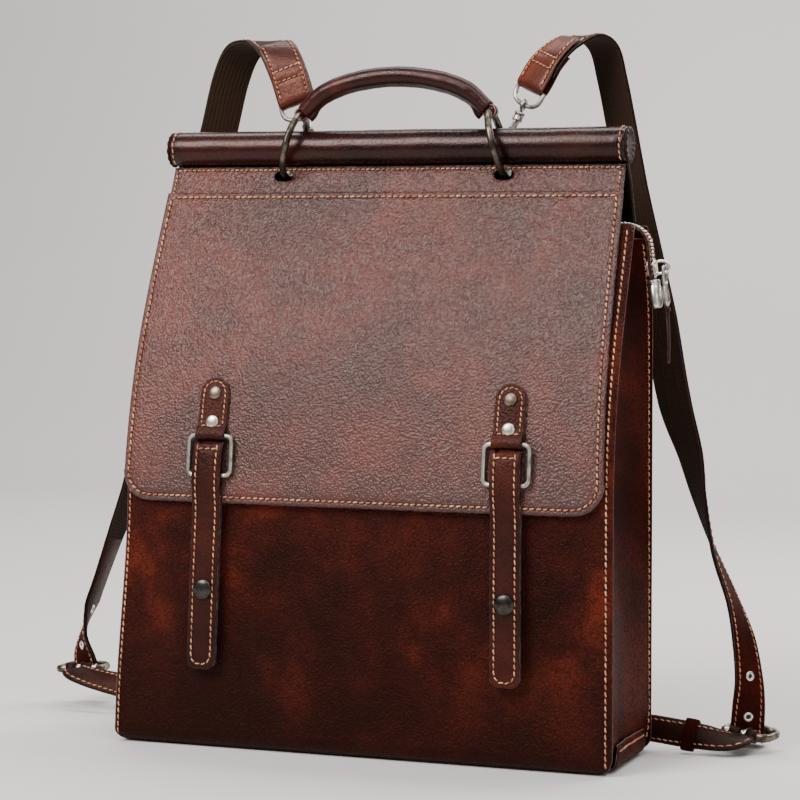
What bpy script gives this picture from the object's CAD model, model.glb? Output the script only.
# %% [markdown]
# # A leather backpack with a rod along its top
# The bag is cut from thick waxed hide, sewn with tan thread, and hung with nickel and bronze
# fittings. The frame gives every solid's place and every body's name. This notebook makes the
# pieces that are seen, in the same frame, and lets each of them ride on its body.

# %% Load the frame
import math
import random

import bmesh
import bpy
import numpy as np
from mathutils import Matrix, Vector
from mathutils.geometry import delaunay_2d_cdt


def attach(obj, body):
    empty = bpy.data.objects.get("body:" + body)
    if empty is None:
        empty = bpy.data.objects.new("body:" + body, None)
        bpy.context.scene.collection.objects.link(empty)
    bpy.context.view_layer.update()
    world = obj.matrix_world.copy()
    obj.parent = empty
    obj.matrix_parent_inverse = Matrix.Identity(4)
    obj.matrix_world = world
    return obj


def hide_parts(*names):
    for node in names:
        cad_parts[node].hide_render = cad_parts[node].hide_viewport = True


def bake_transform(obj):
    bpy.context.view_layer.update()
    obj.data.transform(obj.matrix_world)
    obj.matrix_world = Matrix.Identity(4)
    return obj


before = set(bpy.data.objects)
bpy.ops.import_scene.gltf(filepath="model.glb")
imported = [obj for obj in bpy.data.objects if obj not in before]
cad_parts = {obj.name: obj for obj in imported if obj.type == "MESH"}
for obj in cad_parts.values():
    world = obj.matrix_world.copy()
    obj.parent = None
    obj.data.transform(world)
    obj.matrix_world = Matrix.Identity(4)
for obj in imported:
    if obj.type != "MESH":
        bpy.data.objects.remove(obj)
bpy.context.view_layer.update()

# %% [markdown]
# ## Camera
# The camera stands to the right of the bag's front and a little above its middle, with a long
# lens. It is placed from two angles and a distance, so its numbers can be read and changed.

# %% Camera
TURN, RISE, ROLL = math.radians(19.72), math.radians(2.27), math.radians(0.57)
LOOK_AT = Vector((0.0109, 0.0, 0.2305))
CAMERA_DISTANCE = 1.651
FOCAL = 112.3

back_way = Vector((math.sin(TURN) * math.cos(RISE), -math.cos(TURN) * math.cos(RISE), math.sin(RISE)))
right_way = (-back_way).cross(Vector((0, 0, 1))).normalized()
up_way = right_way.cross(-back_way)
camera_data = bpy.data.cameras.new("camera")
camera_data.lens = FOCAL
camera_data.sensor_width = 36
camera_data.clip_start, camera_data.clip_end = 0.05, 50
camera = bpy.data.objects.new("camera", camera_data)
bpy.context.scene.collection.objects.link(camera)
tilted_right = right_way * math.cos(ROLL) + up_way * math.sin(ROLL)
tilted_up = up_way * math.cos(ROLL) - right_way * math.sin(ROLL)
facing = Matrix((tilted_right, tilted_up, back_way)).transposed().to_4x4()
camera.matrix_world = Matrix.Translation(LOOK_AT + back_way * CAMERA_DISTANCE) @ facing
bpy.context.scene.camera = camera
print("camera at", camera.matrix_world.translation)

# %% [markdown]
# ## Writing shaders as sums
# A finish is a small net of nodes. Wiring it by hand hides the idea, so a link between nodes is
# wrapped in a class whose operators add Math nodes: `1 - mask * 0.5` reads as it would on paper.
# Everything that isn't a sum comes from one method that takes a node's kind, its settings and
# what feeds its sockets.

# %% Links and finishes
class Link:
    """An output of a node, ready for sums."""

    def __init__(self, finish, socket):
        self.finish = finish
        self.socket = socket

    def sum(self, operation, first, second):
        return self.finish.node("ShaderNodeMath", {"operation": operation}, {0: first, 1: second})

    def __add__(self, other):
        return self.sum("ADD", self, other)

    def __radd__(self, other):
        return self.sum("ADD", other, self)

    def __sub__(self, other):
        return self.sum("SUBTRACT", self, other)

    def __rsub__(self, other):
        return self.sum("SUBTRACT", other, self)

    def __mul__(self, other):
        return self.sum("MULTIPLY", self, other)

    def __rmul__(self, other):
        return self.sum("MULTIPLY", other, self)


class Finish:
    """A material that is built node by node."""

    def __init__(self, name):
        self.material = bpy.data.materials.new(name)
        self.material.use_nodes = True
        self.tree = self.material.node_tree
        self.shader = self.tree.nodes["Principled BSDF"]

    def node(self, kind, settings=None, sockets=None, output=0):
        made = self.tree.nodes.new(kind)
        for key, value in (settings or {}).items():
            if key == "stops":
                self.set_stops(made.color_ramp, value)
            else:
                setattr(made, key, value)
        for key, value in (sockets or {}).items():
            self.feed(made, key, value)
        return Link(self, made.outputs[output])

    def feed(self, node, key, value):
        if isinstance(value, Link):
            self.tree.links.new(value.socket, node.inputs[key])
        else:
            node.inputs[key].default_value = value

    @staticmethod
    def set_stops(ramp, stops):
        while len(ramp.elements) < len(stops):
            ramp.elements.new(0.5)
        for element, (place, colour) in zip(ramp.elements, stops):
            element.position = place
            element.color = (*colour, 1)

    def coordinates(self):
        return self.node("ShaderNodeTexCoord", output="Object")

    def ramp(self, factor, *stops):
        return self.node("ShaderNodeValToRGB", {"stops": stops}, {"Fac": factor})

    def fade(self, value, low, high, to_low=0.0, to_high=1.0):
        settings = {"interpolation_type": "SMOOTHSTEP"}
        sockets = {"Value": value, "From Min": low, "From Max": high, "To Min": to_low, "To Max": to_high}
        return self.node("ShaderNodeMapRange", settings, sockets)

    def mixed(self, factor, first, second):
        first = (*first, 1) if isinstance(first, tuple) else first
        second = (*second, 1) if isinstance(second, tuple) else second
        settings = {"data_type": "RGBA", "blend_type": "MIX"}
        return self.node("ShaderNodeMix", settings, {0: factor, 6: first, 7: second}, output=2)

    def noise(self, where, scale, detail=2.0, roughness=0.5, distortion=0.0):
        sockets = {"Vector": where, "Scale": scale, "Detail": detail, "Roughness": roughness}
        return self.node("ShaderNodeTexNoise", None, {**sockets, "Distortion": distortion})

    def bump(self, height, distance):
        sockets = {"Height": height, "Distance": distance, "Strength": 1.0}
        return self.node("ShaderNodeBump", None, sockets)

    def paint(self, **sockets):
        for key, value in sockets.items():
            name = key.replace("_", " ")
            value = (*value, 1) if isinstance(value, tuple) else value
            self.feed(self.shader, name, value)
        return self.material


print("shader tools ready")

# %% [markdown]
# ## Leather
# Full-grain hide is a field of small domes with fine creases between them. Wax has been rubbed
# in by hand, so the colour drifts between oxblood, brown and red-orange in patches a few
# centimetres wide, and the hollows of the grain stay dark. Cells from a Voronoi texture give the
# domes, two noises bend them out of a regular pattern, and slow noises choose the colour.

# %% Leather finishes
DOMES = 600.0


def leather(name, deep, middle, warm, relief, rough=0.4, foot_shade=0.0, shine=0.3, coat=0.0,
            tint=(1.0, 0.58, 0.50)):
    finish = Finish(name)
    where = finish.coordinates()
    drift = finish.noise(where, 150.0, 2.0)
    shift = finish.node("ShaderNodeVectorMath", {"operation": "SCALE"}, {0: drift, "Scale": 0.0022})
    bent = finish.node("ShaderNodeVectorMath", {"operation": "ADD"}, {0: where, 1: shift})
    domes = finish.node("ShaderNodeTexVoronoi", {"feature": "F1"}, {"Vector": bent, "Scale": DOMES})
    fine = finish.noise(where, 2600.0, 2.0)
    lying = {"Vector": where, "Rotation": (0.0, 0.6, 0.0), "Scale": (1.0, 1.0, 0.5)}
    slanted = finish.node("ShaderNodeMapping", None, lying)
    creases = finish.noise(slanted, 430.0, 3.0, 0.6, 1.0)
    height = (1 - domes) * 0.8 + creases * 0.85 + fine * 0.16

    patches = finish.noise(where, 11.0, 3.0, 0.55, 0.6)
    blots = finish.noise(where, 34.0, 4.0, 0.6)
    tone = finish.fade(patches * 0.68 + blots * 0.32, 0.34, 0.68)
    colour = finish.ramp(tone, (0.0, deep), (0.5, middle), (1.0, warm))
    hollow = finish.fade(domes + (1 - creases) * 0.4, 0.55, 1.05)
    colour = finish.mixed(hollow * 0.55, colour, deep)
    if foot_shade:
        up = finish.node("ShaderNodeSeparateXYZ", None, {0: where}, output="Z")
        low = finish.fade(up + (blots - 0.5) * 0.05, 0.005, 0.13, foot_shade, 0.0)
        colour = finish.mixed(low, colour, deep)
    polish = rough + (blots - 0.5) * 0.16 + hollow * 0.16
    sockets = {"Base_Color": colour, "Roughness": polish, "Specular_IOR_Level": shine, "Specular_Tint": tint}
    sockets.update(Coat_Weight=coat, Coat_Roughness=0.25, Normal=finish.bump(height, relief))
    return finish.paint(**sockets)


WORN_TINT = (1.0, 0.72, 0.68)
FLAP_LEATHER = leather(
    "flap_leather", (0.026, 0.0046, 0.0034), (0.050, 0.0080, 0.0052), (0.092, 0.0150, 0.0080),
    relief=0.0008, rough=0.36, shine=0.74, tint=(1.0, 0.85, 0.81))
OXBLOOD = leather(
    "oxblood_leather", (0.009, 0.0014, 0.0010), (0.034, 0.0046, 0.0026), (0.105, 0.0150, 0.0062),
    relief=0.0008, foot_shade=0.85, shine=0.14, tint=(1.0, 0.5, 0.42))
CLOSURE_LEATHER = leather(
    "closure_leather", (0.010, 0.0018, 0.0013), (0.028, 0.0046, 0.0030), (0.060, 0.0100, 0.0052),
    relief=0.0004, shine=0.24)
SIDE_LEATHER = leather(
    "side_leather", (0.012, 0.0015, 0.0009), (0.034, 0.0042, 0.0020), (0.064, 0.0092, 0.0038),
    relief=0.00012, rough=0.58, shine=0.06)
ROD_LEATHER = leather(
    "rod_leather", (0.004, 0.0008, 0.0007), (0.012, 0.0019, 0.0015), (0.028, 0.0042, 0.0026),
    relief=0.00005, rough=0.24, shine=0.28, coat=0.05, tint=WORN_TINT)
HANDLE_LEATHER = leather(
    "handle_leather", (0.008, 0.0014, 0.0011), (0.026, 0.0042, 0.0029), (0.055, 0.0088, 0.0048),
    relief=0.00006, rough=0.28, shine=0.3, tint=WORN_TINT)
TAN_LEATHER = leather(
    "strap_end_leather", (0.024, 0.0042, 0.0022), (0.082, 0.0150, 0.0065), (0.170, 0.0370, 0.0135),
    relief=0.00012, rough=0.34, shine=0.4)
DARK_LEATHER = leather(
    "dark_leather", (0.006, 0.0018, 0.0013), (0.018, 0.0042, 0.0026), (0.045, 0.0095, 0.0048),
    relief=0.00012, rough=0.5, shine=0.2)
print("leathers", [material.name for material in bpy.data.materials])

# %% [markdown]
# ## Edge paint, thread, webbing, cloth and metals
# A cut edge of hide is sealed with dark paint that wears to grey, and a loop's cut edge is left
# pink. Thread is waxed and twisted. Webbing is ribbed cotton. The fittings are plated: warm
# brushed nickel, and an antique bronze that has darkened in its hollows.

# %% Small finishes
def edge_paint(name, dark, pale):
    finish = Finish(name)
    where = finish.coordinates()
    wear = finish.fade(finish.noise(where, 240.0, 4.0, 0.65), 0.42, 0.66)
    layers = finish.noise(where, 900.0, 2.0)
    sockets = {"Base_Color": finish.mixed(wear, dark, pale), "Roughness": 0.42 + layers * 0.2}
    return finish.paint(Normal=finish.bump(layers, 0.00012), **sockets)


def twisted_thread(name, dark, pale):
    finish = Finish(name)
    where = finish.coordinates()
    strands = finish.noise(where, 3200.0, 2.0)
    shade = finish.fade(finish.noise(where, 130.0, 3.0), 0.36, 0.66)
    sockets = {"Base_Color": finish.mixed(shade, dark, pale), "Roughness": 0.45 + strands * 0.2}
    return finish.paint(Normal=finish.bump(strands, 0.00015), **sockets)


def woven(name, dark, pale, scale, sheen=0.2):
    finish = Finish(name)
    where = finish.coordinates()
    rib = {"Vector": where, "Scale": scale, "Distortion": 1.2}
    across = finish.node("ShaderNodeTexWave", {"bands_direction": "Z"}, rib)
    along = finish.node("ShaderNodeTexWave", {"bands_direction": "X"}, rib)
    cloth = across * along
    fuzz = finish.noise(where, 1500.0, 3.0)
    colour = finish.mixed(finish.fade(cloth * 0.7 + fuzz * 0.3, 0.2, 0.7), dark, pale)
    sockets = {"Base_Color": colour, "Roughness": 0.72 + fuzz * 0.2, "Sheen_Weight": sheen}
    return finish.paint(Specular_IOR_Level=0.12, Normal=finish.bump(cloth + fuzz * 0.5, 0.0003), **sockets)


def plated(name, dark, pale, rough, brushed=0.00002):
    finish = Finish(name)
    where = finish.coordinates()
    tarnish = finish.fade(finish.noise(where, 160.0, 4.0, 0.6), 0.36, 0.62)
    scratches = finish.noise(where, 2400.0, 3.0, 0.7, 2.0)
    sockets = {"Base_Color": finish.mixed(tarnish, dark, pale), "Metallic": 1.0}
    roughness = rough + (1 - tarnish) * 0.14 + scratches * 0.08
    return finish.paint(Roughness=roughness, Normal=finish.bump(scratches, brushed), **sockets)


EDGE = edge_paint("edge_paint", (0.010, 0.009, 0.010), (0.085, 0.083, 0.088))
LIT_EDGE = edge_paint("worn_edge", (0.075, 0.014, 0.008), (0.20, 0.050, 0.030))
PINK_EDGE = edge_paint("bare_edge", (0.20, 0.045, 0.040), (0.42, 0.15, 0.13))
THREAD = twisted_thread("tan_thread", (0.30, 0.105, 0.050), (0.60, 0.29, 0.155))
HOLE = edge_paint("needle_hole", (0.004, 0.002, 0.002), (0.012, 0.005, 0.004))
WEBBING = woven("ribbed_webbing", (0.010, 0.0045, 0.0022), (0.066, 0.029, 0.013), 380.0, 0.04)
ZIP_CLOTH = woven("zip_cloth", (0.008, 0.007, 0.006), (0.03, 0.026, 0.022), 500.0)
LINING = woven("lining_cloth", (0.10, 0.075, 0.05), (0.26, 0.21, 0.15), 330.0)
NICKEL = plated("warm_nickel", (0.20, 0.18, 0.155), (0.52, 0.49, 0.45), 0.27)
BRIGHT = plated("bright_nickel", (0.46, 0.43, 0.39), (0.78, 0.76, 0.72), 0.2)
BRONZE = plated("antique_bronze", (0.055, 0.042, 0.032), (0.23, 0.185, 0.14), 0.3)
BLACKENED = plated("blackened_metal", (0.010, 0.009, 0.009), (0.055, 0.049, 0.045), 0.26)
RING_METAL = plated("ring_metal", (0.030, 0.024, 0.019), (0.135, 0.112, 0.090), 0.28)
print("finishes", len(bpy.data.materials))

# %% [markdown]
# ## From points to pieces
# Everything is laid out in millimetres and turned into metres when its mesh is made. Each mesh
# is closed and its faces look outwards. A piece rides on its body, says which CAD solids it
# stands for, and names the record's finish slot.

# %% Making a piece
MILLIMETRE = 0.001
piece_count = 0


def make_piece(name, points, faces, finishes, body, stands_for=(), slot=None, kinds=None, rides=True):
    global piece_count
    mesh = bpy.data.meshes.new(name)
    mesh.from_pydata((np.asarray(points) * MILLIMETRE).tolist(), [], [tuple(map(int, f)) for f in faces])
    for material in finishes:
        mesh.materials.append(material)
    if kinds is not None:
        mesh.polygons.foreach_set("material_index", np.asarray(kinds, dtype=np.int32))
    work = bmesh.new()
    work.from_mesh(mesh)
    bmesh.ops.recalc_face_normals(work, faces=work.faces)
    work.to_mesh(mesh)
    work.free()
    mesh.polygons.foreach_set("use_smooth", [True] * len(mesh.polygons))
    piece = bpy.data.objects.new(name, mesh)
    bpy.context.scene.collection.objects.link(piece)
    if rides:
        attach(piece, body)
    if stands_for:
        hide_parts(*stands_for)
    piece_count += 1
    return piece


class Pile:
    """Points and faces of several shapes that end up in one mesh."""

    def __init__(self):
        self.points, self.faces, self.kinds, self.count = [], [], [], 0

    def add(self, points, faces, kind=0):
        points = np.asarray(points, float).reshape(-1, 3)
        self.points.append(points)
        self.faces.extend(tuple(int(i) + self.count for i in face) for face in faces)
        kinds = kind if isinstance(kind, list) else [kind] * len(faces)
        self.kinds.extend(kinds)
        self.count += len(points)

    def piece(self, name, finishes, body, stands_for=(), slot=None, rides=True):
        points = np.concatenate(self.points)
        return make_piece(name, points, self.faces, finishes, body, stands_for, slot, self.kinds, rides)


def skin(rows, size, closed=False, capped=False):
    """Faces round rows of points; closed joins the last row to the first, capped fills both ends."""
    faces = []
    for i in range(rows if closed else rows - 1):
        this, following = i * size, (i + 1) % rows * size
        for k in range(size):
            ahead = (k + 1) % size
            faces.append((this + k, this + ahead, following + ahead, following + k))
    if capped:
        faces += [tuple(range(size))[::-1], tuple((rows - 1) * size + k for k in range(size))]
    return faces


# %% [markdown]
# ## Soft waviness
# Hide is never flat. A handful of long sine waves in seeded random directions gives a surface
# that swells and dips gently, and is the same on every run.

# %% Waviness
def wander(u, v, length, seed, turns=7):
    draw = random.Random(seed)
    total = 0.0
    for _ in range(turns):
        angle = draw.uniform(0, math.tau)
        pitch = length * draw.uniform(0.6, 1.7)
        phase = draw.uniform(0, math.tau)
        total = total + np.sin((u * math.cos(angle) + v * math.sin(angle)) * math.tau / pitch + phase)
    return total / turns * 1.7


def smooth_step(low, high, value):
    share = np.clip((value - low) / (high - low), 0, 1)
    return share * share * (3 - 2 * share)


# %% [markdown]
# ## The bag's walls as measured leather
# A wall is a section in depth and height, carried across the bag's width. It rises from the
# base, stays upright, then bends and leans in. `Profile` measures the section in millimetres of
# leather, so an outline can be drawn flat, as a cutter would draw it, and laid on the wall.

# %% Profiles
LEAN = math.radians(23)
HALF_DEPTH, TURN_RADIUS, PANEL = 53.0, 9.0, 2.4
FRONT = {"side": -1, "bend_start": 165.0, "bend_radius": 300.0}
BACK = {"side": 1, "bend_start": 272.0, "bend_radius": 200.0}
BASE_HALF, TOP_HALF, PANEL_TOP = 172.0, 168.5, 347.0


def wall_at(wall, z):
    bend_end = wall["bend_start"] + wall["bend_radius"] * math.sin(LEAN)
    if z <= wall["bend_start"]:
        return 0.0, 0.0
    if z < bend_end:
        lean = math.asin((z - wall["bend_start"]) / wall["bend_radius"])
        return wall["bend_radius"] * (1 - math.cos(lean)), lean
    return wall["bend_radius"] * (1 - math.cos(LEAN)) + (z - bend_end) * math.tan(LEAN), LEAN


def on_wall(wall, z, offset=0.0):
    run, lean = wall_at(wall, z)
    return (wall["side"] * (HALF_DEPTH - run + offset * math.cos(lean)), z + offset * math.sin(lean))


def half_width(z):
    return BASE_HALF + (TOP_HALF - BASE_HALF) * z / PANEL_TOP


def spline(a, b, c, d, t):
    """A place on a uniform Catmull-Rom curve, between b at t = 0 and c at t = 1."""
    square, cube = 2 * a - 5 * b + 4 * c - d, 3 * b - a - 3 * c + d
    return 0.5 * (2 * b + (c - a) * t + square * t * t + cube * t ** 3)


def distances(line):
    """How far along a line each of its points is."""
    return np.concatenate([[0], np.cumsum(np.linalg.norm(np.diff(line, axis=0), axis=1))])


def curve_through(points, steps=8):
    """A smooth open curve through points."""
    p = np.asarray(points, float)
    ends = np.vstack([2 * p[0] - p[1], p, 2 * p[-1] - p[-2]])
    out = []
    for k in range(1, len(ends) - 2):
        out.extend(spline(*ends[k - 1:k + 3], i / steps) for i in range(steps))
    return np.array([*out, p[-1]])


class Profile:
    """A (y, z) section, measured along its leather from its first point."""

    def __init__(self, points, side):
        self.points = np.asarray(points, float)
        self.side = side
        self.s = distances(self.points)
        self.length = self.s[-1]

    def at(self, s):
        return np.interp(s, self.s, self.points[:, 0]), np.interp(s, self.s, self.points[:, 1])

    def where_z(self, z):
        order = np.argsort(self.points[:, 1])
        return float(np.interp(z, self.points[order, 1], self.s[order]))

    def place(self, u, s, off):
        u, s = np.asarray(u, float), np.asarray(s, float)
        y, z = self.at(s)
        low, high = np.clip(s - 1.2, 0, self.length), np.clip(s + 1.2, 0, self.length)
        (y0, z0), (y1, z1) = self.at(low), self.at(high)
        size = np.hypot(y1 - y0, z1 - z0)
        ny, nz = self.side * (z1 - z0) / size, -self.side * (y1 - y0) / size
        return np.stack([u, y + ny * off, z + nz * off], axis=-1)


def wall_profile(wall, bottom, top, offset=0.0, step=2.0):
    heights = np.arange(bottom, top + step * 0.5, step)
    return Profile([on_wall(wall, z, offset) for z in heights], wall["side"])


def panel_profile(wall, top):
    side, radius = wall["side"], TURN_RADIUS
    under = [(side * y, 0.0) for y in (38.0, 41.0)]
    turns = np.radians(np.arange(0, 91, 6))
    start = HALF_DEPTH - radius
    fold = [(side * (start + radius * math.sin(a)), radius - radius * math.cos(a)) for a in turns]
    rise = [on_wall(wall, z) for z in np.arange(11.0, top + 0.5, 2.0)]
    return Profile([*under, *fold, *rise], side)


LEFT_TUCK = 7.0


def tuck(u, z):
    """The bag stands a little askew: its left edge is drawn in towards the middle."""
    share = np.clip((-np.asarray(u, float) - 40) / (half_width(z) - 40), 0, 1) ** 1.4
    return u + LEFT_TUCK * smooth_step(8, 165, z) * share


def settled(u, z):
    """0 along a panel's foot and sides, where it is sewn down, and 1 over its middle."""
    return smooth_step(6, 40, z) * smooth_step(175, 150, np.abs(u))


def edge_roll(u, z):
    """The stitches pull a panel's side edge back."""
    return -2.2 * np.clip(1 - (half_width(z) - np.abs(u)) / 3.4, 0, 1) ** 2


def front_swell(u, z):
    """How far the filled front stands out: fullest low down between the tongues."""
    full = 2.6 * np.cos(np.clip(u / 175, -1, 1) * math.pi / 2) * np.exp(-((z - 118) / 85) ** 2)
    settle = settled(u, z)
    return full * settle + 0.75 * wander(u, z, 150, 3) * settle


front_profile = panel_profile(FRONT, PANEL_TOP)
back_profile = panel_profile(BACK, PANEL_TOP)


def front_surface(u, s, off):
    z = front_profile.at(s)[1]
    lift = front_swell(u, z)
    return front_profile.place(tuck(u, z), s, off + lift + edge_roll(u, z) * smooth_step(4, 12, z))


def back_surface(u, s, off):
    z = back_profile.at(s)[1]
    lift = 0.7 * wander(u, z, 170, 5) * settled(u, z)
    return back_profile.place(tuck(u, z), s, off + lift + edge_roll(u, z) * smooth_step(4, 12, z))


print("front leather is", round(front_profile.length), "mm long")

# %% [markdown]
# ## Cutting a piece of leather
# A real piece is an outline cut from a sheet, with a rounded, painted edge and a sunken line
# where the thread pulls it down. The mesh is made the same way: rows of points follow the edge
# and the seams closely, a looser grid fills the middle, and a Delaunay triangulation joins them.
# The flat net is then laid on a curved surface twice, for its two faces, and closed round its rim.

# %% Leather cutter
def walk(line, spacing, closed=False):
    """A line with points no further apart than a spacing, its corners kept."""
    line = np.asarray(line, float)
    ends = np.vstack([line, line[:1]]) if closed else line
    out = []
    for a, b in zip(ends[:-1], ends[1:]):
        pieces = max(1, int(math.ceil(np.linalg.norm(b - a) / spacing)))
        out.extend(a + (b - a) * i / pieces for i in range(pieces))
    if not closed:
        out.append(ends[-1])
    return np.array(out)


def evenly(line, spacing):
    """A line with points the same distance apart."""
    line = np.asarray(line, float)
    s = distances(line)
    count = max(1, int(round(s[-1] / spacing)))
    where = np.linspace(0, s[-1], count + 1)
    return np.stack([np.interp(where, s, line[:, k]) for k in range(line.shape[1])], axis=-1)


def sideways(line, closed=False):
    """Unit vectors to the left of a flat line."""
    if closed:
        along = np.roll(line, -1, axis=0) - np.roll(line, 1, axis=0)
    else:
        along = np.gradient(line, axis=0)
    along = along / np.maximum(np.linalg.norm(along, axis=1, keepdims=True), 1e-9)
    return np.stack([-along[:, 1], along[:, 0]], axis=-1)


def reach(points, line, closed=False):
    """How far each point is from a line."""
    line = np.vstack([line, line[:1]]) if closed else line
    a, ab = line[:-1], np.diff(line, axis=0)
    size = np.maximum((ab ** 2).sum(1), 1e-12)
    best = np.full(len(points), 1e9)
    for start in range(0, len(points), 2000):
        d = points[start:start + 2000, None] - a[None]
        t = np.clip((d * ab).sum(-1) / size, 0, 1)
        best[start:start + 2000] = np.linalg.norm(d - t[..., None] * ab, axis=-1).min(1)
    return best


def inside(points, loop):
    x, y = points[:, 0], points[:, 1]
    hit = np.zeros(len(points), bool)
    for (ax, ay), (bx, by) in zip(loop, np.roll(loop, -1, axis=0)):
        if ay == by:
            continue
        crosses = (ay > y) != (by > y)
        hit ^= crosses & (x < (bx - ax) * (y - ay) / (by - ay) + ax)
    return hit


def mirrored(line):
    """A line drawn for the right half, carried on by its mirror image."""
    return np.array([*line, *[(-x, y) for x, y in line[::-1]]])


def inset(outline, distance):
    """The part of an outline moved inwards that stays clear of it by that distance."""
    dense = walk(outline, 2.0, closed=True)
    moved = dense + sideways(dense, closed=True) * distance
    return moved[reach(moved, dense, closed=True) > distance * 0.97]


def cut_leather(name, outline, surface, thick, finishes, body, holes=(), seams=(), step=5.0, base=0.0,
                groove=0.4, stands_for=(), slot=None, rides=True, edge_step=2.4):
    """A closed piece of leather from a flat outline. finishes are for its face and its rim."""
    loops = [walk(outline, edge_step, closed=True), *[walk(hole, 0.9, closed=True) for hole in holes]]

    def clearance(points):
        return np.min([reach(points, loop, closed=True) for loop in loops], axis=0)

    fixed = np.concatenate(loops)
    edges, start = [], 0
    for loop in loops:
        count = len(loop)
        edges.extend((start + i, start + (i + 1) % count) for i in range(count))
        start += count
    loose = []
    for distance in (0.3 * thick, 0.75 * thick):
        for loop in loops:
            row = loop + sideways(loop, closed=True) * distance
            loose.append(row[clearance(row) > distance * 0.93])
    for seam in seams:
        even = evenly(seam, 2.2)
        for distance in (-1.5, -0.6, 0.0, 0.6, 1.5):
            loose.append(even + sideways(even) * distance)
    low, high = loops[0].min(0), loops[0].max(0)
    columns, lines = (np.arange(low[k] + step / 2, high[k], step) for k in (0, 1))
    grid = np.stack(np.meshgrid(columns, lines), -1).reshape(-1, 2)
    keep = clearance(grid) > 0.75 * thick + 0.35 * step
    for seam in seams:
        keep &= reach(grid, np.asarray(seam)) > 1.5 + 0.3 * step
    loose.append(grid[keep])
    loose = np.concatenate(loose)
    solid = inside(loose, loops[0]) & (clearance(loose) > 0.2 * thick)
    for hole in loops[1:]:
        solid &= ~inside(loose, hole)
    net = np.vstack([fixed, loose[solid]])
    vertices, _, triangles, *_ = delaunay_2d_cdt([Vector(p) for p in net], edges, [], 0, 1e-5)
    flat = np.array([tuple(v) for v in vertices])
    triangles = np.array(triangles, int)
    middle = flat[triangles].mean(1)
    inner = inside(middle, loops[0])
    for hole in loops[1:]:
        inner &= ~inside(middle, hole)
    triangles = triangles[inner]
    used = np.unique(triangles)
    remap = np.full(len(flat), -1)
    remap[used] = np.arange(len(used))
    flat, triangles = flat[used], remap[triangles]

    round_off = 0.34 * thick * (1 - np.clip(clearance(flat) / (0.75 * thick), 0, 1)) ** 2
    sunk = np.zeros(len(flat))
    for seam in seams:
        away = reach(flat, np.asarray(seam))
        sunk = np.maximum(sunk, groove * np.exp(-(away / 1.0) ** 2))
    top = surface(flat[:, 0], flat[:, 1], base + thick - round_off - sunk)
    under = surface(flat[:, 0], flat[:, 1], base + round_off)

    sides = dict.fromkeys(side for a, b, c in triangles for side in ((a, b), (b, c), (c, a)))
    rim = [(a, b) for a, b in sides if (b, a) not in sides]
    out = np.zeros_like(flat)
    for a, b in rim:
        along = flat[b] - flat[a]
        way = np.array([along[1], -along[0]]) / max(np.linalg.norm(along), 1e-9)
        out[a] += way
        out[b] += way
    out /= np.maximum(np.linalg.norm(out, axis=1, keepdims=True), 1e-9)
    rim_points = np.array(list(dict.fromkeys(index for side in rim for index in side)))
    ring = {index: place for place, index in enumerate(rim_points)}
    bowed = flat[rim_points] + out[rim_points] * 0.14 * thick
    centre = surface(bowed[:, 0], bowed[:, 1], np.full(len(bowed), base + thick / 2))

    count = len(flat)
    faces = [tuple(t) for t in triangles] + [tuple(t[::-1] + count) for t in triangles]
    for a, b in rim:
        ma, mb = 2 * count + ring[a], 2 * count + ring[b]
        faces.extend([(b, a, ma, mb), (mb, ma, count + a, count + b)])
    kinds = [0] * (2 * len(triangles)) + [1] * (2 * len(rim))
    points = np.vstack([top, under, centre])
    return make_piece(name, points, faces, finishes, body, stands_for, slot, kinds, rides)


# %% [markdown]
# ## Saddle stitching
# Two needles pass through each hole, so every stitch is a short plump thread that dives into a
# dark hole at both ends and leans a little. Each one is a small closed tube along the seam.

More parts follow.
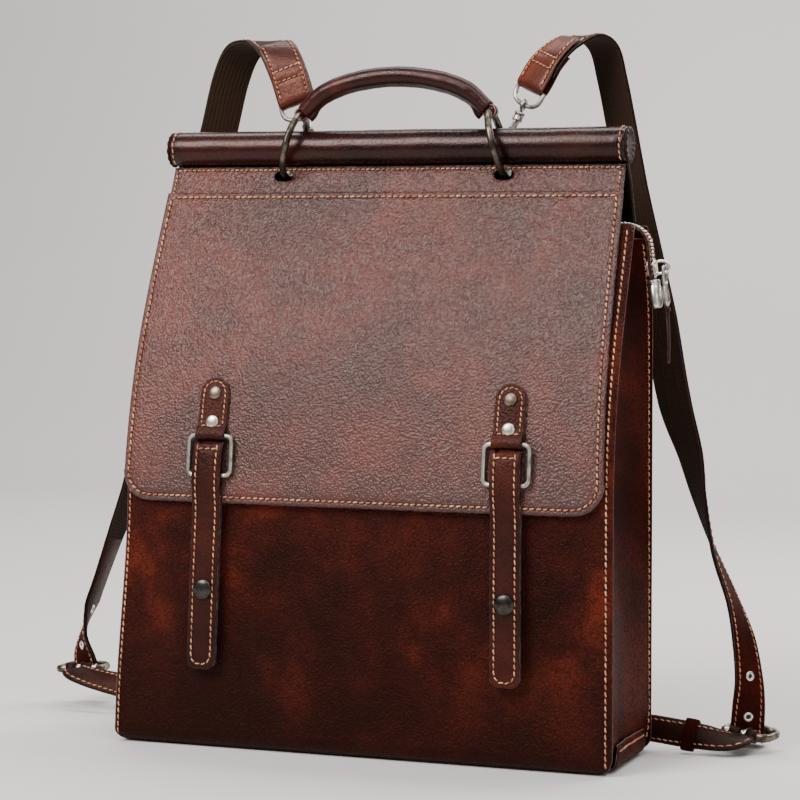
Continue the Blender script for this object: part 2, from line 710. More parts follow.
# %% Stitcher
def sew(name, seams, surface, off, body, pitch=4.4, width=1.1, slot="tan_leather", lean=0.28, rides=True):
    """Rows of stitches on a surface; off is the height of the leather's face."""
    pile = Pile()
    sides, shares = 7, np.array([-0.47, -0.36, -0.13, 0.13, 0.36, 0.47])
    lift = np.array([-0.45, 0.1, 0.36, 0.36, 0.1, -0.45]) * width
    swell = np.array([0.55, 0.9, 1.0, 1.0, 0.9, 0.55]) * width / 2
    for seam in seams:
        marks = evenly(seam, pitch)
        steps = np.diff(marks, axis=0)
        length = np.linalg.norm(steps, axis=1)
        along = steps / length[:, None]
        left = np.stack([-along[:, 1], along[:, 0]], axis=-1)
        middle = marks[:-1] + steps / 2
        flat = middle[:, None] + along[:, None] * (shares[None, :, None] * length[:, None, None] * 0.74)
        flat = flat + left[:, None] * (shares[None, :, None] * lean * 2)
        u, v = flat[..., 0].ravel(), flat[..., 1].ravel()
        height = np.tile(lift, len(middle))
        core = surface(u, v, off + height)
        outward = surface(u, v, off + height + 0.5) - core
        outward /= np.linalg.norm(outward, axis=1, keepdims=True)
        core, outward = core.reshape(-1, 6, 3), outward.reshape(-1, 6, 3)
        tangent = np.gradient(core, axis=1)
        tangent /= np.linalg.norm(tangent, axis=-1, keepdims=True)
        across = np.cross(tangent, outward)
        across /= np.linalg.norm(across, axis=-1, keepdims=True)
        turn = np.arange(sides) * math.tau / sides
        size = swell[None, :, None, None]
        ring = (core[:, :, None] + across[:, :, None] * (np.cos(turn)[None, None, :, None] * size * 1.1)
                + np.cross(across, tangent)[:, :, None] * (np.sin(turn)[None, None, :, None] * size))
        faces = skin(len(shares), sides, capped=True)
        for stitch in ring:
            pile.add(stitch, faces)
        spots = surface(marks[:, 0], marks[:, 1], np.full(len(marks), off + 0.02))
        above = surface(marks[:, 0], marks[:, 1], np.full(len(marks), off + 0.12)) - spots
        above /= np.linalg.norm(above, axis=1, keepdims=True)
        way = np.gradient(spots, axis=0)
        way /= np.linalg.norm(way, axis=1, keepdims=True)
        beside = np.cross(above, way)
        turn = np.arange(8) * math.tau / 8
        for spot, up, fore, side in zip(spots, above, way, beside):
            edge = spot + np.outer(np.cos(turn), fore) * width * 0.62
            edge = edge + np.outer(np.sin(turn), side) * width * 0.72
            points = np.vstack([edge, spot + up * 0.1, spot - up * 0.3])
            faces = [(k, (k + 1) % 8, 8) for k in range(8)] + [((k + 1) % 8, k, 9) for k in range(8)]
            pile.add(points, faces, 1)
    return pile.piece(name, [THREAD, HOLE], body, slot=slot, rides=rides)


# %% [markdown]
# ## Wire, turned metal and straps
# Rings, hooks and buckles are bent wire: a circle carried along a path without twisting.
# Rivets and snaps are turned profiles. A strap is a rounded section carried along a route.

# %% Wire, lathe and ribbon
def unit(v):
    v = np.asarray(v, float)
    return v / np.linalg.norm(v)


def tube(path, radius, closed=False, sides=18):
    """Points and faces of a bent rod. radius may change along it."""
    path = np.asarray(path, float)
    count = len(path)
    radius = np.broadcast_to(np.asarray(radius, float), (count,))
    if closed:
        tangent = np.roll(path, -1, axis=0) - np.roll(path, 1, axis=0)
    else:
        tangent = np.gradient(path, axis=0)
    tangent /= np.linalg.norm(tangent, axis=1, keepdims=True)
    normal = unit(np.cross(tangent[0], [0.3, 0.5, 0.81]))
    frames = [normal]
    for i in range(1, count):
        normal = frames[-1] - tangent[i] * (frames[-1] @ tangent[i])
        frames.append(unit(normal))
    frames = np.array(frames)
    if closed:
        last = unit(frames[-1] - tangent[0] * (frames[-1] @ tangent[0]))
        twist = math.atan2(np.cross(last, frames[0]) @ tangent[0], last @ frames[0])
        for i in range(count):
            a = twist * i / count
            side = np.cross(tangent[i], frames[i])
            frames[i] = frames[i] * math.cos(a) + side * math.sin(a)
    other = np.cross(tangent, frames)
    turn = np.arange(sides) * math.tau / sides
    around = np.cos(turn)[None, :, None] * frames[:, None] + np.sin(turn)[None, :, None] * other[:, None]
    ring = path[:, None] + radius[:, None, None] * around
    return ring.reshape(-1, 3), skin(count, sides, closed, capped=not closed)


def round_ended(path, radius, nose=1.0):
    """A rod's path and radii with a rounded nose at each end."""
    path = np.asarray(path, float)
    start, finish = unit(path[0] - path[1]), unit(path[-1] - path[-2])
    radius = np.broadcast_to(np.asarray(radius, float), (len(path),))
    turns = (0.95, 0.75, 0.4)
    head = [path[0] + start * radius[0] * t * nose for t in turns]
    tail = [path[-1] + finish * radius[-1] * t * nose for t in turns[::-1]]
    narrow = [math.sqrt(1 - t * t) for t in turns]
    sizes = [*(radius[0] * n for n in narrow), *radius, *(radius[-1] * n for n in narrow[::-1])]
    return np.array([*head, *path, *tail]), np.array(sizes)


def turned(pairs, origin, axis, sides):
    """Rings of points round an axis, one for each (radius, height) pair."""
    side = unit(np.cross(axis, [0.31, 0.2, 0.93]))
    other = np.cross(axis, side)
    spokes = [math.cos(a) * side + math.sin(a) * other for a in np.arange(sides) * math.tau / sides]
    return [origin + axis * h + r * spoke for r, h in pairs for spoke in spokes]


def lathe(profile, origin, axis, sides=40):
    """Points and faces of a turned solid from (radius, height) pairs that begin and end on its axis."""
    origin, axis = np.asarray(origin), unit(axis)
    rings = [(r, h) for r, h in profile if r > 1e-6]
    points = turned(rings, origin, axis, sides)
    points += [origin + axis * profile[0][1], origin + axis * profile[-1][1]]
    count = len(rings)
    faces = skin(count, sides)
    foot, head = count * sides, count * sides + 1
    faces += [((k + 1) % sides, k, foot) for k in range(sides)]
    faces += [((count - 1) * sides + k, (count - 1) * sides + (k + 1) % sides, head) for k in range(sides)]
    return np.array(points), faces


def hollow_lathe(profile, origin, axis, sides=40):
    """A turned ring from a closed loop of (radius, height) pairs."""
    points = turned(profile, np.asarray(origin), unit(axis), sides)
    return np.array(points), skin(len(profile), sides, closed=True)


def rounded_box_loop(width, height, radius, steps=5):
    out = []
    for sx, sy, start in ((1, 1, 0), (-1, 1, 90), (-1, -1, 180), (1, -1, 270)):
        x, y = sx * (width / 2 - radius), sy * (height / 2 - radius)
        turns = [math.radians(start + 90 * i / steps) for i in range(steps + 1)]
        out += [(x + radius * math.cos(a), y + radius * math.sin(a)) for a in turns]
    return np.array(out)


def sweep(route, section, count, t0, t1):
    """A section of (across, up) pairs carried along a route. section(t) may change along it."""
    rows = []
    for i in range(count + 1):
        t = t0 + (t1 - t0) * i / count
        centre, across, normal = route(t)
        rows.append([centre + across * a + normal * b for a, b in section(t)])
    return np.array(rows).reshape(-1, 3), skin(len(rows), len(rows[0]), capped=True)


def route_through(rows, directions):
    """A route through points: at t from 0 to 1 it gives a centre, the way across and the way out."""
    points, sides = np.asarray(rows, float), np.asarray(directions, float)
    last = len(points) - 1
    ends = np.vstack([2 * points[0] - points[1], points, 2 * points[-1] - points[-2]])

    def place(t):
        spot = min(max(t, 0.0), 1.0) * last
        k = min(int(spot), last - 1)
        f = spot - k
        a, b, c, d = ends[k:k + 4]
        square, cube = 2 * a - 5 * b + 4 * c - d, 3 * b - a - 3 * c + d
        centre = spline(a, b, c, d, f)
        tangent = unit(0.5 * ((c - a) + 2 * square * f + 3 * cube * f * f))
        across = sides[k] + (sides[k + 1] - sides[k]) * f
        across = unit(across - tangent * (across @ tangent))
        return centre, across, np.cross(tangent, across)
    return place


print("workshop tools ready")

# %% [markdown]
# ## Front and back
# Each is one panel that turns under at its foot, with round bottom corners. A row of stitches
# runs down both sides, three and a half millimetres in, where the panel is sewn to the gusset.

# %% Front and back panels
SEAM_INSET = 3.6
CORNER = 13.0


def panel_outline(profile, top_z):
    """The right half from the top down and the left half back up, in (across, along) places."""
    top, corner = profile.where_z(top_z), profile.where_z(CORNER)
    heights = np.linspace(top_z, CORNER, 60)
    side = [(half_width(z), top if z == top_z else profile.where_z(z)) for z in heights]
    angles = np.linspace(0.12, math.pi / 2, 9)
    turn = [(BASE_HALF - CORNER * (1 - math.cos(a)), corner - 18.0 * math.sin(a)) for a in angles]
    return mirrored([*side, *turn, (BASE_HALF - CORNER - 2, 1.0)])[::-1]


def side_seams(profile, top_z, bottom_z):
    heights = np.linspace(top_z, bottom_z, 80)
    right = np.array([(half_width(z) - SEAM_INSET, profile.where_z(z)) for z in heights])
    return [right, right * np.array([-1, 1])]


front_outline = panel_outline(front_profile, PANEL_TOP)
front_seams = side_seams(front_profile, PANEL_TOP - 4, 5.0)
front = cut_leather("front_leather", front_outline, front_surface, PANEL, [OXBLOOD, LIT_EDGE], "bag",
                    seams=front_seams, step=4.0, base=-PANEL, groove=0.55, stands_for=["front_panel"],
                    slot="body_leather")
sew("front_stitches", front_seams, front_surface, -0.2, "bag", pitch=4.5)
back_seams = side_seams(back_profile, PANEL_TOP - 4, 5.0)
back_outline = panel_outline(back_profile, PANEL_TOP)
back = cut_leather("back_leather", back_outline, back_surface, PANEL, [OXBLOOD, LIT_EDGE], "bag",
                   seams=back_seams, step=5.0, base=-PANEL, groove=0.5, stands_for=["back_panel"],
                   slot="body_leather")
sew("back_stitches", back_seams, back_surface, -0.2, "bag", pitch=4.5)
print("front faces", len(front.data.polygons), "back faces", len(back.data.polygons))

# %% [markdown]
# ## Gussets and base
# A gusset is one long panel drawn in between front and back, deeper towards the mouth where the
# bag folds. The base turns up over its foot as a stitched lip, and the leather creases there.

# %% Gussets
TOP_OF_GUSSET = 338.0


def depth_inside(wall, z, distance):
    if z < TURN_RADIUS:
        fold, rise = TURN_RADIUS - distance, TURN_RADIUS - z
        return wall["side"] * (HALF_DEPTH - TURN_RADIUS + math.sqrt(max(0.0, fold * fold - rise * rise)))
    run, lean = wall_at(wall, z)
    return wall["side"] * (HALF_DEPTH - run - distance / math.cos(lean))


gusset_heights = np.linspace(5, TOP_OF_GUSSET, 200)
gusset_front = np.array([depth_inside(FRONT, z, PANEL + 0.5) for z in gusset_heights])
gusset_back = np.array([depth_inside(BACK, z, PANEL + 0.5) for z in gusset_heights])


def gusset_surface(side, seed):
    def place(share, z, off):
        share, z = np.asarray(share, float) / 100, np.asarray(z, float)
        y0, y1 = np.interp(z, gusset_heights, gusset_front), np.interp(z, gusset_heights, gusset_back)
        drawn = 2.2 + 13.5 * np.clip(z / 215, 0, 1) ** 1.2
        hollow = np.clip(np.sin(math.pi * share), 0, 1) ** 1.15
        fold = 1.6 * np.exp(-((share - 0.46) / 0.09) ** 2) * smooth_step(60, 230, z)
        nip = 0.6 + 2.2 * smooth_step(22, 8, z)
        soft = 0.8 * wander(share * 60, z, 120, seed) * hollow
        pucker = 0.35 * np.sin(z / 3.1 + 4 * share) * smooth_step(40, 22, z) * smooth_step(0.35, 0.8, share)
        x = half_width(z) - nip - drawn * hollow - fold - soft + off - 2.0 + pucker
        askew = tuck(-half_width(z), z) + half_width(z) if side < 0 else 0.0
        return np.stack([side * (x - askew), y0 + (y1 - y0) * share, z], axis=-1)
    return place


SIDES = (("left", -1), ("right", 1))
for name, side in SIDES:
    surface = gusset_surface(side, 21 if name == "left" else 22)
    outline = [(0.4, 5.5), (99.6, 5.5), (99.6, TOP_OF_GUSSET), (0.4, TOP_OF_GUSSET)]
    heights = np.linspace(TOP_OF_GUSSET - 3, 9, 90)
    depth = np.interp(heights, gusset_heights, gusset_back - gusset_front)
    back_row = np.stack([100 - 100 * 3.4 / depth, heights], axis=-1)
    cut_leather(f"gusset_leather_{name}", outline, surface, 2.0, [SIDE_LEATHER, LIT_EDGE], "bag",
                seams=[back_row], step=4.0, stands_for=[f"gusset_{name}"], slot="body_leather")
    sew(f"gusset_stitches_{name}", [back_row], surface, 2.0, "bag", pitch=4.5, lean=0.1)
print("gussets made")

# %% Base
BASE_EDGE, BASE_LIP = 37.6, 17.5
BASE_BEND = 8
base_points = [(-BASE_HALF, z) for z in (BASE_LIP, 14.0, 11.0)]
for turn in np.radians(np.arange(0, 91, 9)):
    run, rise = BASE_BEND * math.cos(turn), BASE_BEND * math.sin(turn)
    base_points.append((-BASE_HALF + BASE_BEND - run, BASE_BEND - rise))
base_profile = Profile(mirrored(base_points), 1)


def base_surface(across, s, off):
    flat = base_profile.place(np.zeros_like(np.asarray(s, float)), s, off)
    x, z = flat[..., 1], flat[..., 2]
    lip, across = smooth_step(6, 16, z), np.asarray(across, float)
    fan = across * (1 - 0.10 * lip)
    dent = lip * (0.7 * wander(across, z * 3, 26, 8) + 1.2 * np.cos(across / BASE_EDGE * 1.3))
    return np.stack([x - np.sign(x) * dent, fan, z], axis=-1)


lip_end = base_profile.length
base_outline = [(-BASE_EDGE, 0.5), (BASE_EDGE, 0.5), (BASE_EDGE, lip_end - 0.5), (-BASE_EDGE, lip_end - 0.5)]
lip_seams = [np.array([(-BASE_EDGE + 3, s), (BASE_EDGE - 3, s)]) for s in (4.2, lip_end - 4.2)]
cut_leather("base_leather", base_outline, base_surface, 2.0, [SIDE_LEATHER, EDGE], "bag", seams=lip_seams,
            step=4.0, base=-2.0, groove=0.35, stands_for=["base_panel"], slot="body_leather")
sew("base_stitches", lip_seams, base_surface, -0.05, "bag", pitch=4.5)
print("base made")

# %% [markdown]
# ## Flap
# The flap hangs over the front like an apron. Its lower corners are round, its edge is painted
# and stitched all round, and it swells a little where the filled bag pushes it out.

# %% Flap
FLAP_TOP, FLAP_BOTTOM, FLAP_OUTER, FLAP_THICK = 366.7, 163.0, 4.1, 2.6
FLAP_TOP_HALF, FLAP_BOTTOM_HALF, FLAP_CORNER = 160.0, 166.0, 20.0
flap_profile = wall_profile(FRONT, FLAP_BOTTOM - 4, FLAP_TOP + 8)


def flap_swell(u, z):
    top_free = smooth_step(FLAP_TOP, FLAP_TOP - 60, z)
    body = 1.5 * np.cos(np.clip(u / 175, -1, 1) * math.pi / 2) * top_free
    waves = 0.8 * wander(u, z, 170, 11) * top_free
    lip = 0.9 * smooth_step(FLAP_BOTTOM + 26, FLAP_BOTTOM, z) * (1 + 0.5 * wander(u, z, 90, 12))
    return body + waves + lip + front_swell(u, z) * smooth_step(250, 170, z)


def flap_surface(u, s, off):
    z = flap_profile.at(s)[1]
    drawn_in = 2.6 * smooth_step(320, 200, z) * np.clip((-np.asarray(u, float) - 110) / 56, 0, 1)
    return flap_profile.place(u + drawn_in, s, off + flap_swell(u, z))


def flap_half(z):
    narrowing = FLAP_TOP_HALF - FLAP_BOTTOM_HALF
    return FLAP_BOTTOM_HALF + narrowing * (z - FLAP_BOTTOM) / (FLAP_TOP - FLAP_BOTTOM)


def flap_outline():
    foot = flap_profile.where_z(FLAP_BOTTOM)
    heights = np.linspace(FLAP_TOP, FLAP_BOTTOM + FLAP_CORNER, 40)
    side = [(flap_half(z), flap_profile.where_z(z)) for z in heights]
    centre = (FLAP_BOTTOM_HALF - FLAP_CORNER, foot + FLAP_CORNER)
    arc = [(FLAP_CORNER * math.cos(a), FLAP_CORNER * math.sin(a)) for a in np.linspace(0.08, math.pi / 2, 14)]
    return mirrored([*side, *[(centre[0] + a, centre[1] - b) for a, b in arc]])[::-1]


flap_cut = flap_outline()
border = inset(flap_cut, 3.7)
top_line = flap_profile.where_z(FLAP_TOP) - 3.8
start = int(np.argmin(np.abs(border[:, 0] - FLAP_TOP_HALF) + np.abs(border[:, 1] - top_line)))
border = np.roll(border, -start, axis=0)
flap_seams = [np.vstack([border, border[:1]])]
flap = cut_leather("flap_leather", flap_cut, flap_surface, FLAP_THICK, [FLAP_LEATHER, EDGE], "flap",
                   seams=flap_seams, step=3.6, base=FLAP_OUTER - FLAP_THICK, groove=0.6,
                   stands_for=["flap_panel"], slot="body_leather")
sew("flap_stitches", flap_seams, flap_surface, FLAP_OUTER - 0.15, "flap", pitch=4.35)
print("flap faces", len(flap.data.polygons))

# %% [markdown]
# ## Crown
# Leather is wrapped tightly round a wooden rod and sewn to itself just below it. Behind, it runs
# down the bag's back. In front a separate band bends at the foot of the crown, and the flap hangs
# from it, so the band bends with the flap and belongs half to each.

# %% Rod sleeve
ROD_Y, ROD_Z, ROD_OUTER, ROD_HALF = 15.3, 398.0, 12.1, 159.5
SLEEVE = 1.8
RING_X, RING_Z, RING_RADIUS, RING_WIRE = 72.0, 400.0, 21.6, 2.4
RING_LEAN, RING_YAW = math.radians(15), math.radians(6)
SLOT_Z = 379.6


def round_rod(radius, start, finish, step=5.0):
    turns = np.radians(np.arange(start, finish - 0.1, -step))
    return [(ROD_Y + radius * math.cos(a), ROD_Z + radius * math.sin(a)) for a in turns]


inner = ROD_OUTER - SLEEVE
back_leg = [on_wall(BACK, z, 0.4) for z in (372.0, 365.0, 358.0, 351.0, 344.0)]
sleeve_profile = Profile([*round_rod(inner, -112.0, -438.0), *back_leg], -1)


def sleeve_surface(u, s, off):
    ripple = 0.32 * wander(u, s * 2.2, 95, 31) + 0.14 * wander(u, s * 3, 34, 32)
    return sleeve_profile.place(u, s, off + ripple * smooth_step(ROD_HALF + 1, ROD_HALF - 12, np.abs(u)))


SLOT_HALF, SLOT_ROUND = 3.0, 3.9


def slot_hole(x, s):
    """The loop of a ring's slot: two straight sides and two half circles."""
    arc = [(SLOT_ROUND * math.cos(a), SLOT_ROUND * math.sin(a)) for a in np.radians(np.arange(90, 271, 15))]
    left = [(x - SLOT_HALF + a, s + b) for a, b in arc]
    right = [(x + SLOT_HALF - a, s - b) for a, b in arc]
    return np.array([*left, *right])[::-1]


slot_x = RING_X + RING_RADIUS * math.sin(RING_LEAN)
leg_start = len(round_rod(inner, -112.0, -438.0))
leg_s = sleeve_profile.s[leg_start - 1]
slot_s = leg_s + (sleeve_profile.points[leg_start - 1][1] - SLOT_Z)
sleeve_holes = [slot_hole(side * slot_x, slot_s) for side in (-1, 1)]
top_s = sleeve_profile.length - 0.3
sleeve_outline = [(-ROD_HALF, 0.3), (ROD_HALF, 0.3), (ROD_HALF, top_s), (-ROD_HALF, top_s)]
end_x = ROD_HALF - 2.6
end_rows = [np.array([(side * end_x, 2.0), (side * end_x, leg_s - 2)]) for side in (-1, 1)]
yoke_row = np.array([(-ROD_HALF + 4, top_s - 3.6), (ROD_HALF - 4, top_s - 3.6)])
sleeve = cut_leather("rod_sleeve", sleeve_outline, sleeve_surface, SLEEVE, [ROD_LEATHER, EDGE], "bag",
                     holes=sleeve_holes, seams=[*end_rows, yoke_row], step=3.2, groove=0.3,
                     stands_for=["crown_wrap"], slot="body_leather")
sew("sleeve_stitches", [*end_rows, yoke_row], sleeve_surface, SLEEVE - 0.05, "bag", pitch=3.6, width=0.85)
print("sleeve faces", len(sleeve.data.polygons))

# %% Band under the rod
band_heights = [*range(384, 365, -3), 362, 358, 356.5]
band_rows = [on_wall(FRONT, z, 2.2) for z in band_heights]
band_top = (ROD_Y - 3.6, ROD_Z - ROD_OUTER - 0.2)
band_curve = curve_through([band_top, *band_rows], 4)[::-1]
band_profile = Profile(band_curve, -1)


def band_surface(u, s, off):
    fade = smooth_step(0, 8, s)
    return band_profile.place(u, s, off + 0.45 * wander(u, s * 2, 80, 41) * fade)


band_length = band_profile.length
band_half = ROD_HALF - 0.3
band_foot, band_head = 0.4, band_length - 0.4
band_outline = [(-band_half, band_foot), (band_half, band_foot)]
band_outline += [(band_half - 0.2, band_head), (-band_half + 0.2, band_head)]
slot_place = band_profile.where_z(SLOT_Z)
band_holes = [slot_hole(side * slot_x, slot_place) for side in (-1, 1)]
seam_x = band_half - 2.8
under_rod = np.array([(-band_half + 2.8, band_length - 2.4), (seam_x, band_length - 2.4)])
down_ends = [np.array([(side * seam_x, band_length - 5), (side * seam_x, 10.0)]) for side in (-1, 1)]
band_seams = [under_rod, *down_ends]
band = cut_leather("crown_band", band_outline, band_surface, 1.9, [FLAP_LEATHER, EDGE], "bag",
                   holes=band_holes, seams=band_seams, step=2.8, base=-1.9, groove=0.4,
                   slot="body_leather", rides=False)
band_thread = sew("band_stitches", band_seams, band_surface, -0.05, "bag", pitch=3.5, width=0.9, rides=False)
for piece in (band, band_thread):
    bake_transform(piece)
print("band is", round(band_length, 1), "mm tall")

# %% [markdown]
# ## Rod ends
# A disc of hide closes each end of the sleeve. Its rim is gathered, so it puckers into small
# folds round a shallow dish.

# %% Rod end discs
for name, side in SIDES:
    rings, spokes = [0.25, 0.45, 0.62, 0.78, 0.9, 0.97, 1.0, 0.97, 0.6], 72
    heights = [1.25, 1.2, 1.4, 1.9, 2.1, 1.7, 1.0, 0.3, 0.2]
    points = []
    origin = np.array([side * (ROD_HALF + 0.3), ROD_Y, ROD_Z])
    for share, height in zip(rings, heights):
        for k in range(spokes):
            a = k * math.tau / spokes
            gather = 0.3 * math.sin(a * 14 + 0.8 * math.sin(3 * a)) * smooth_step(0.3, 0.8, share)
            out, radius = height + gather * (height > 0.9), 11.9 * share
            points.append(origin + np.array([side * out, radius * math.cos(a), radius * math.sin(a)]))
    count = len(rings)
    points += [origin + np.array([side * 1.3, 0, 0]), origin + np.array([side * 0.2, 0, 0])]
    faces = skin(count, spokes)
    hub, rim = count * spokes, (count - 1) * spokes
    faces += [(k, (k + 1) % spokes, hub) for k in range(spokes)]
    faces += [(rim + (k + 1) % spokes, rim + k, hub + 1) for k in range(spokes)]
    make_piece(f"rod_end_{name}", points, faces, [DARK_LEATHER], "bag", [f"rod_cap_{name}"], "dark_leather")
print("rod ends made")

# %% [markdown]
# ## Handle and its rings
# Each ring is thick nickel wire, threaded through both layers of the band and leaning inwards.
# The grip is a strip rolled round a cord and sewn along its underside, which leaves a low fin.
# Its ends are turned round the rings and show their bare cut edges.

# %% Handle rings
def ring_axes(side):
    up = np.array([-side * math.sin(RING_LEAN), 0, math.cos(RING_LEAN)])
    forward = np.array([math.sin(RING_YAW), -math.cos(RING_YAW), 0])
    return up, forward


def ring_point(angle, side):
    up, forward = ring_axes(side)
    a = math.radians(angle)
    centre = np.array([side * RING_X, ROD_Y, RING_Z])
    return centre + up * RING_RADIUS * math.cos(a) + forward * RING_RADIUS * math.sin(a)


for name, side in SIDES:
    path = [ring_point(a, side) for a in np.arange(0, 360, 5)]
    shape = tube(path, RING_WIRE, closed=True, sides=24)
    make_piece(f"ring_wire_{name}", *shape, [RING_METAL], "handle", [f"handle_ring_{name}"], "nickel")

# %% Handle grip
ends = [ring_point(0, side) for _, side in SIDES]
arch = [(-50, 435), (-28, 442.5), (0, 445.5), (28, 442.5), (50, 435)]
rise = [(x, ROD_Y - 1, z) for x, z in arch]
grip_line = curve_through([ends[0] + (1.5, -1, 1.6), *rise, ends[1] + (-1.5, -1, 1.6)], 14)
shares = np.linspace(-1, 1, len(grip_line))
grip_radius = 6.35 - 0.9 * smooth_step(0.62, 1.0, np.abs(shares))
pile = Pile()
GRIP_SIDES = 36
turns = np.arange(GRIP_SIDES) * math.tau / GRIP_SIDES
tangents = np.gradient(grip_line, axis=0)
tangents /= np.linalg.norm(tangents, axis=1, keepdims=True)
rows = []
for place, tangent, radius, share in zip(grip_line, tangents, grip_radius, shares):
    forward = unit(np.array([0, -1.0, 0]) - tangent * -tangent[1])
    up = np.cross(forward, tangent)
    up = up if up[2] > 0 else -up
    fin = np.exp(-((turns - 1.5 * math.pi) / 0.16) ** 2) * (1.0 + 2.6 * smooth_step(0.8, 0.97, abs(share)))
    soft = 0.12 * math.sin(share * 21) + 0.1 * math.sin(share * 47 + 1)
    around = radius * (1 + 0.012 * np.sin(3 * turns + share * 9)) + soft * 0.5 + fin
    fore, high = (around * np.cos(turns))[:, None], (around * np.sin(turns))[:, None]
    rows.append(place + forward[None] * fore + up[None] * high)
pile.add(rows, skin(len(rows), GRIP_SIDES, capped=True))
for (name, side), end in zip(SIDES, ends):
    up, forward = ring_axes(side)
    half_loop = [(2.7, 3.5), (3.0, 3.9), (3.9, 4.0), (4.5, 4.0), (4.9, 3.5)]
    loop = [(2.7, -3.5), *half_loop, *[(r, -h) for r, h in half_loop[:0:-1]]]
    points, faces = hollow_lathe(loop, end + up * 0.2, forward, 40)
    kinds = [1 if face[0] // 40 in (3, 7) else 0 for face in faces]
    pile.add(points, faces, kinds)
grip = pile.piece("handle_leather", [HANDLE_LEATHER, PINK_EDGE], "handle", ["handle_grip"], "body_leather")
print("handle faces", len(grip.data.polygons))

# %% [markdown]
# ## Closures
# A tab of thin doubled hide is riveted to the flap and turned round the top bar of a square
# ring. The tongue hangs from the lower bar: its end goes over the bar and back down behind, so it
# is two layers thick, with stitches and painted edges all round, and it ends in a snap.

# %% Closure sizes
CLOSURES = {"left": (-99.5, -5.0), "right": (103.5, 1.0)}
TAB_TOP, TAB_HALF = 243.0, 10.0
BAR_Z, RING_DROP, SQUARE_WIRE = 205.5, 25.0, 1.5
TONGUE_TOP, TONGUE_BOTTOM, TONGUE_HALF = 201.3, 53.0, 9.75
SNAP_Z, RIVET_ZS = 106.0, (233.0, 214.5)
BAR_REACH = SQUARE_WIRE + 0.5 + 2.0 + 0.35
LAYER = 1.05


def over_flap(x):
    """Sections on the flap at one place across it, given as (distance off the flap, height)."""
    def at(off, z):
        s = np.array([flap_profile.where_z(z)])
        return tuple(flap_surface(np.array([x]), s, np.array([FLAP_OUTER + off]))[0][1:])
    return at


def bar_place(x, z):
    y, up = on_wall(FRONT, z, FLAP_OUTER + BAR_REACH)
    return np.array([x, y, up])


# %% Tabs
def tab_path(x):
    """The inner face of the tab's front layer: down the flap, round the ring's bar and back up."""
    at = over_flap(x)
    bar = bar_place(x, BAR_Z)
    flat = [at(LAYER + 0.15, z) for z in np.arange(TAB_TOP, 215.0, -3.0)]
    ease = [at(LAYER + 0.5, 213.5)]
    turns = np.radians([140.0, 170.0, 200.0, 230.0, 260.0, 290.0, 320.0])
    loop = [(bar[1] + 2.1 * math.cos(a), bar[2] + 2.1 * math.sin(a)) for a in turns]
    return np.array([*flat, *ease, *loop, at(0.25, 209.0), at(0.15, 213.0), at(0.1, 216.0)])


def strip_surface(profile, x, seed, drift=0.0, drift_length=1.0, cup=0.25):
    def place(u, s, off):
        u, s = np.asarray(u, float), np.asarray(s, float)
        wave = 0.16 * wander(u * 2, s, 45, seed)
        crown = cup * (1 - (u / TONGUE_HALF) ** 2)
        shift = drift * np.clip(1 - s / drift_length, 0, 1)
        return profile.place(x + u + shift, s, off + wave + crown)
    return place


for name, (x, _) in CLOSURES.items():
    profile = Profile(curve_through(tab_path(x)[::-1], 4), -1)
    surface = strip_surface(profile, x, 51 if name == "left" else 52, cup=0.1)
    top = profile.length - 0.2
    turns = np.linspace(0, math.pi, 17)
    dome = [(TAB_HALF * math.cos(a), top - TAB_HALF + TAB_HALF * math.sin(a)) for a in turns]
    outline = np.array([(-TAB_HALF, 0.3), (TAB_HALF, 0.3), *dome])
    loop_end = profile.length - (TAB_TOP - 209.0)
    reach_in = TAB_HALF - 2.5
    arc = [(-reach_in * math.cos(a), top - TAB_HALF + reach_in * math.sin(a)) for a in turns]
    seam = walk([(-reach_in, loop_end + 2), *arc, (reach_in, loop_end + 2)], 1.5)
    fold = np.array([(-TAB_HALF + 2.6, loop_end + 0.5), (TAB_HALF - 2.6, loop_end + 0.5)])
    cut_leather(f"closure_strip_{name}", outline, surface, LAYER, [CLOSURE_LEATHER, EDGE], "flap",
                seams=[seam, fold], step=2.4, groove=0.3, stands_for=[f"closure_tab_{name}"],
                slot="body_leather", edge_step=1.4)
    sew(f"tab_stitches_{name}", [seam, fold], surface, LAYER - 0.05, "flap", pitch=3.5, width=0.85)
    flat_rows = [over_flap(x)(0.1, z) for z in np.arange(208.0, TAB_TOP + 0.1, 2.5)]
    under = strip_surface(Profile(flat_rows, -1), x, 50, cup=0.0)
    backing = [(-TAB_HALF, 0.2), (TAB_HALF, 0.2), *[(a, b - top + (TAB_TOP - 208.0)) for a, b in dome]]
    cut_leather(f"closure_backing_{name}", backing, under, LAYER - 0.15, [CLOSURE_LEATHER, EDGE], "flap",
                step=3.0, slot="body_leather", edge_step=1.6)
print("tabs made")

# %% Rivets and snaps
def outward_at(x, z, off):
    s = np.array([flap_profile.where_z(z)])
    a = flap_surface(np.array([x]), s, np.array([FLAP_OUTER + off]))[0]
    b = flap_surface(np.array([x]), s, np.array([FLAP_OUTER + off + 1]))[0]
    return a, unit(b - a)


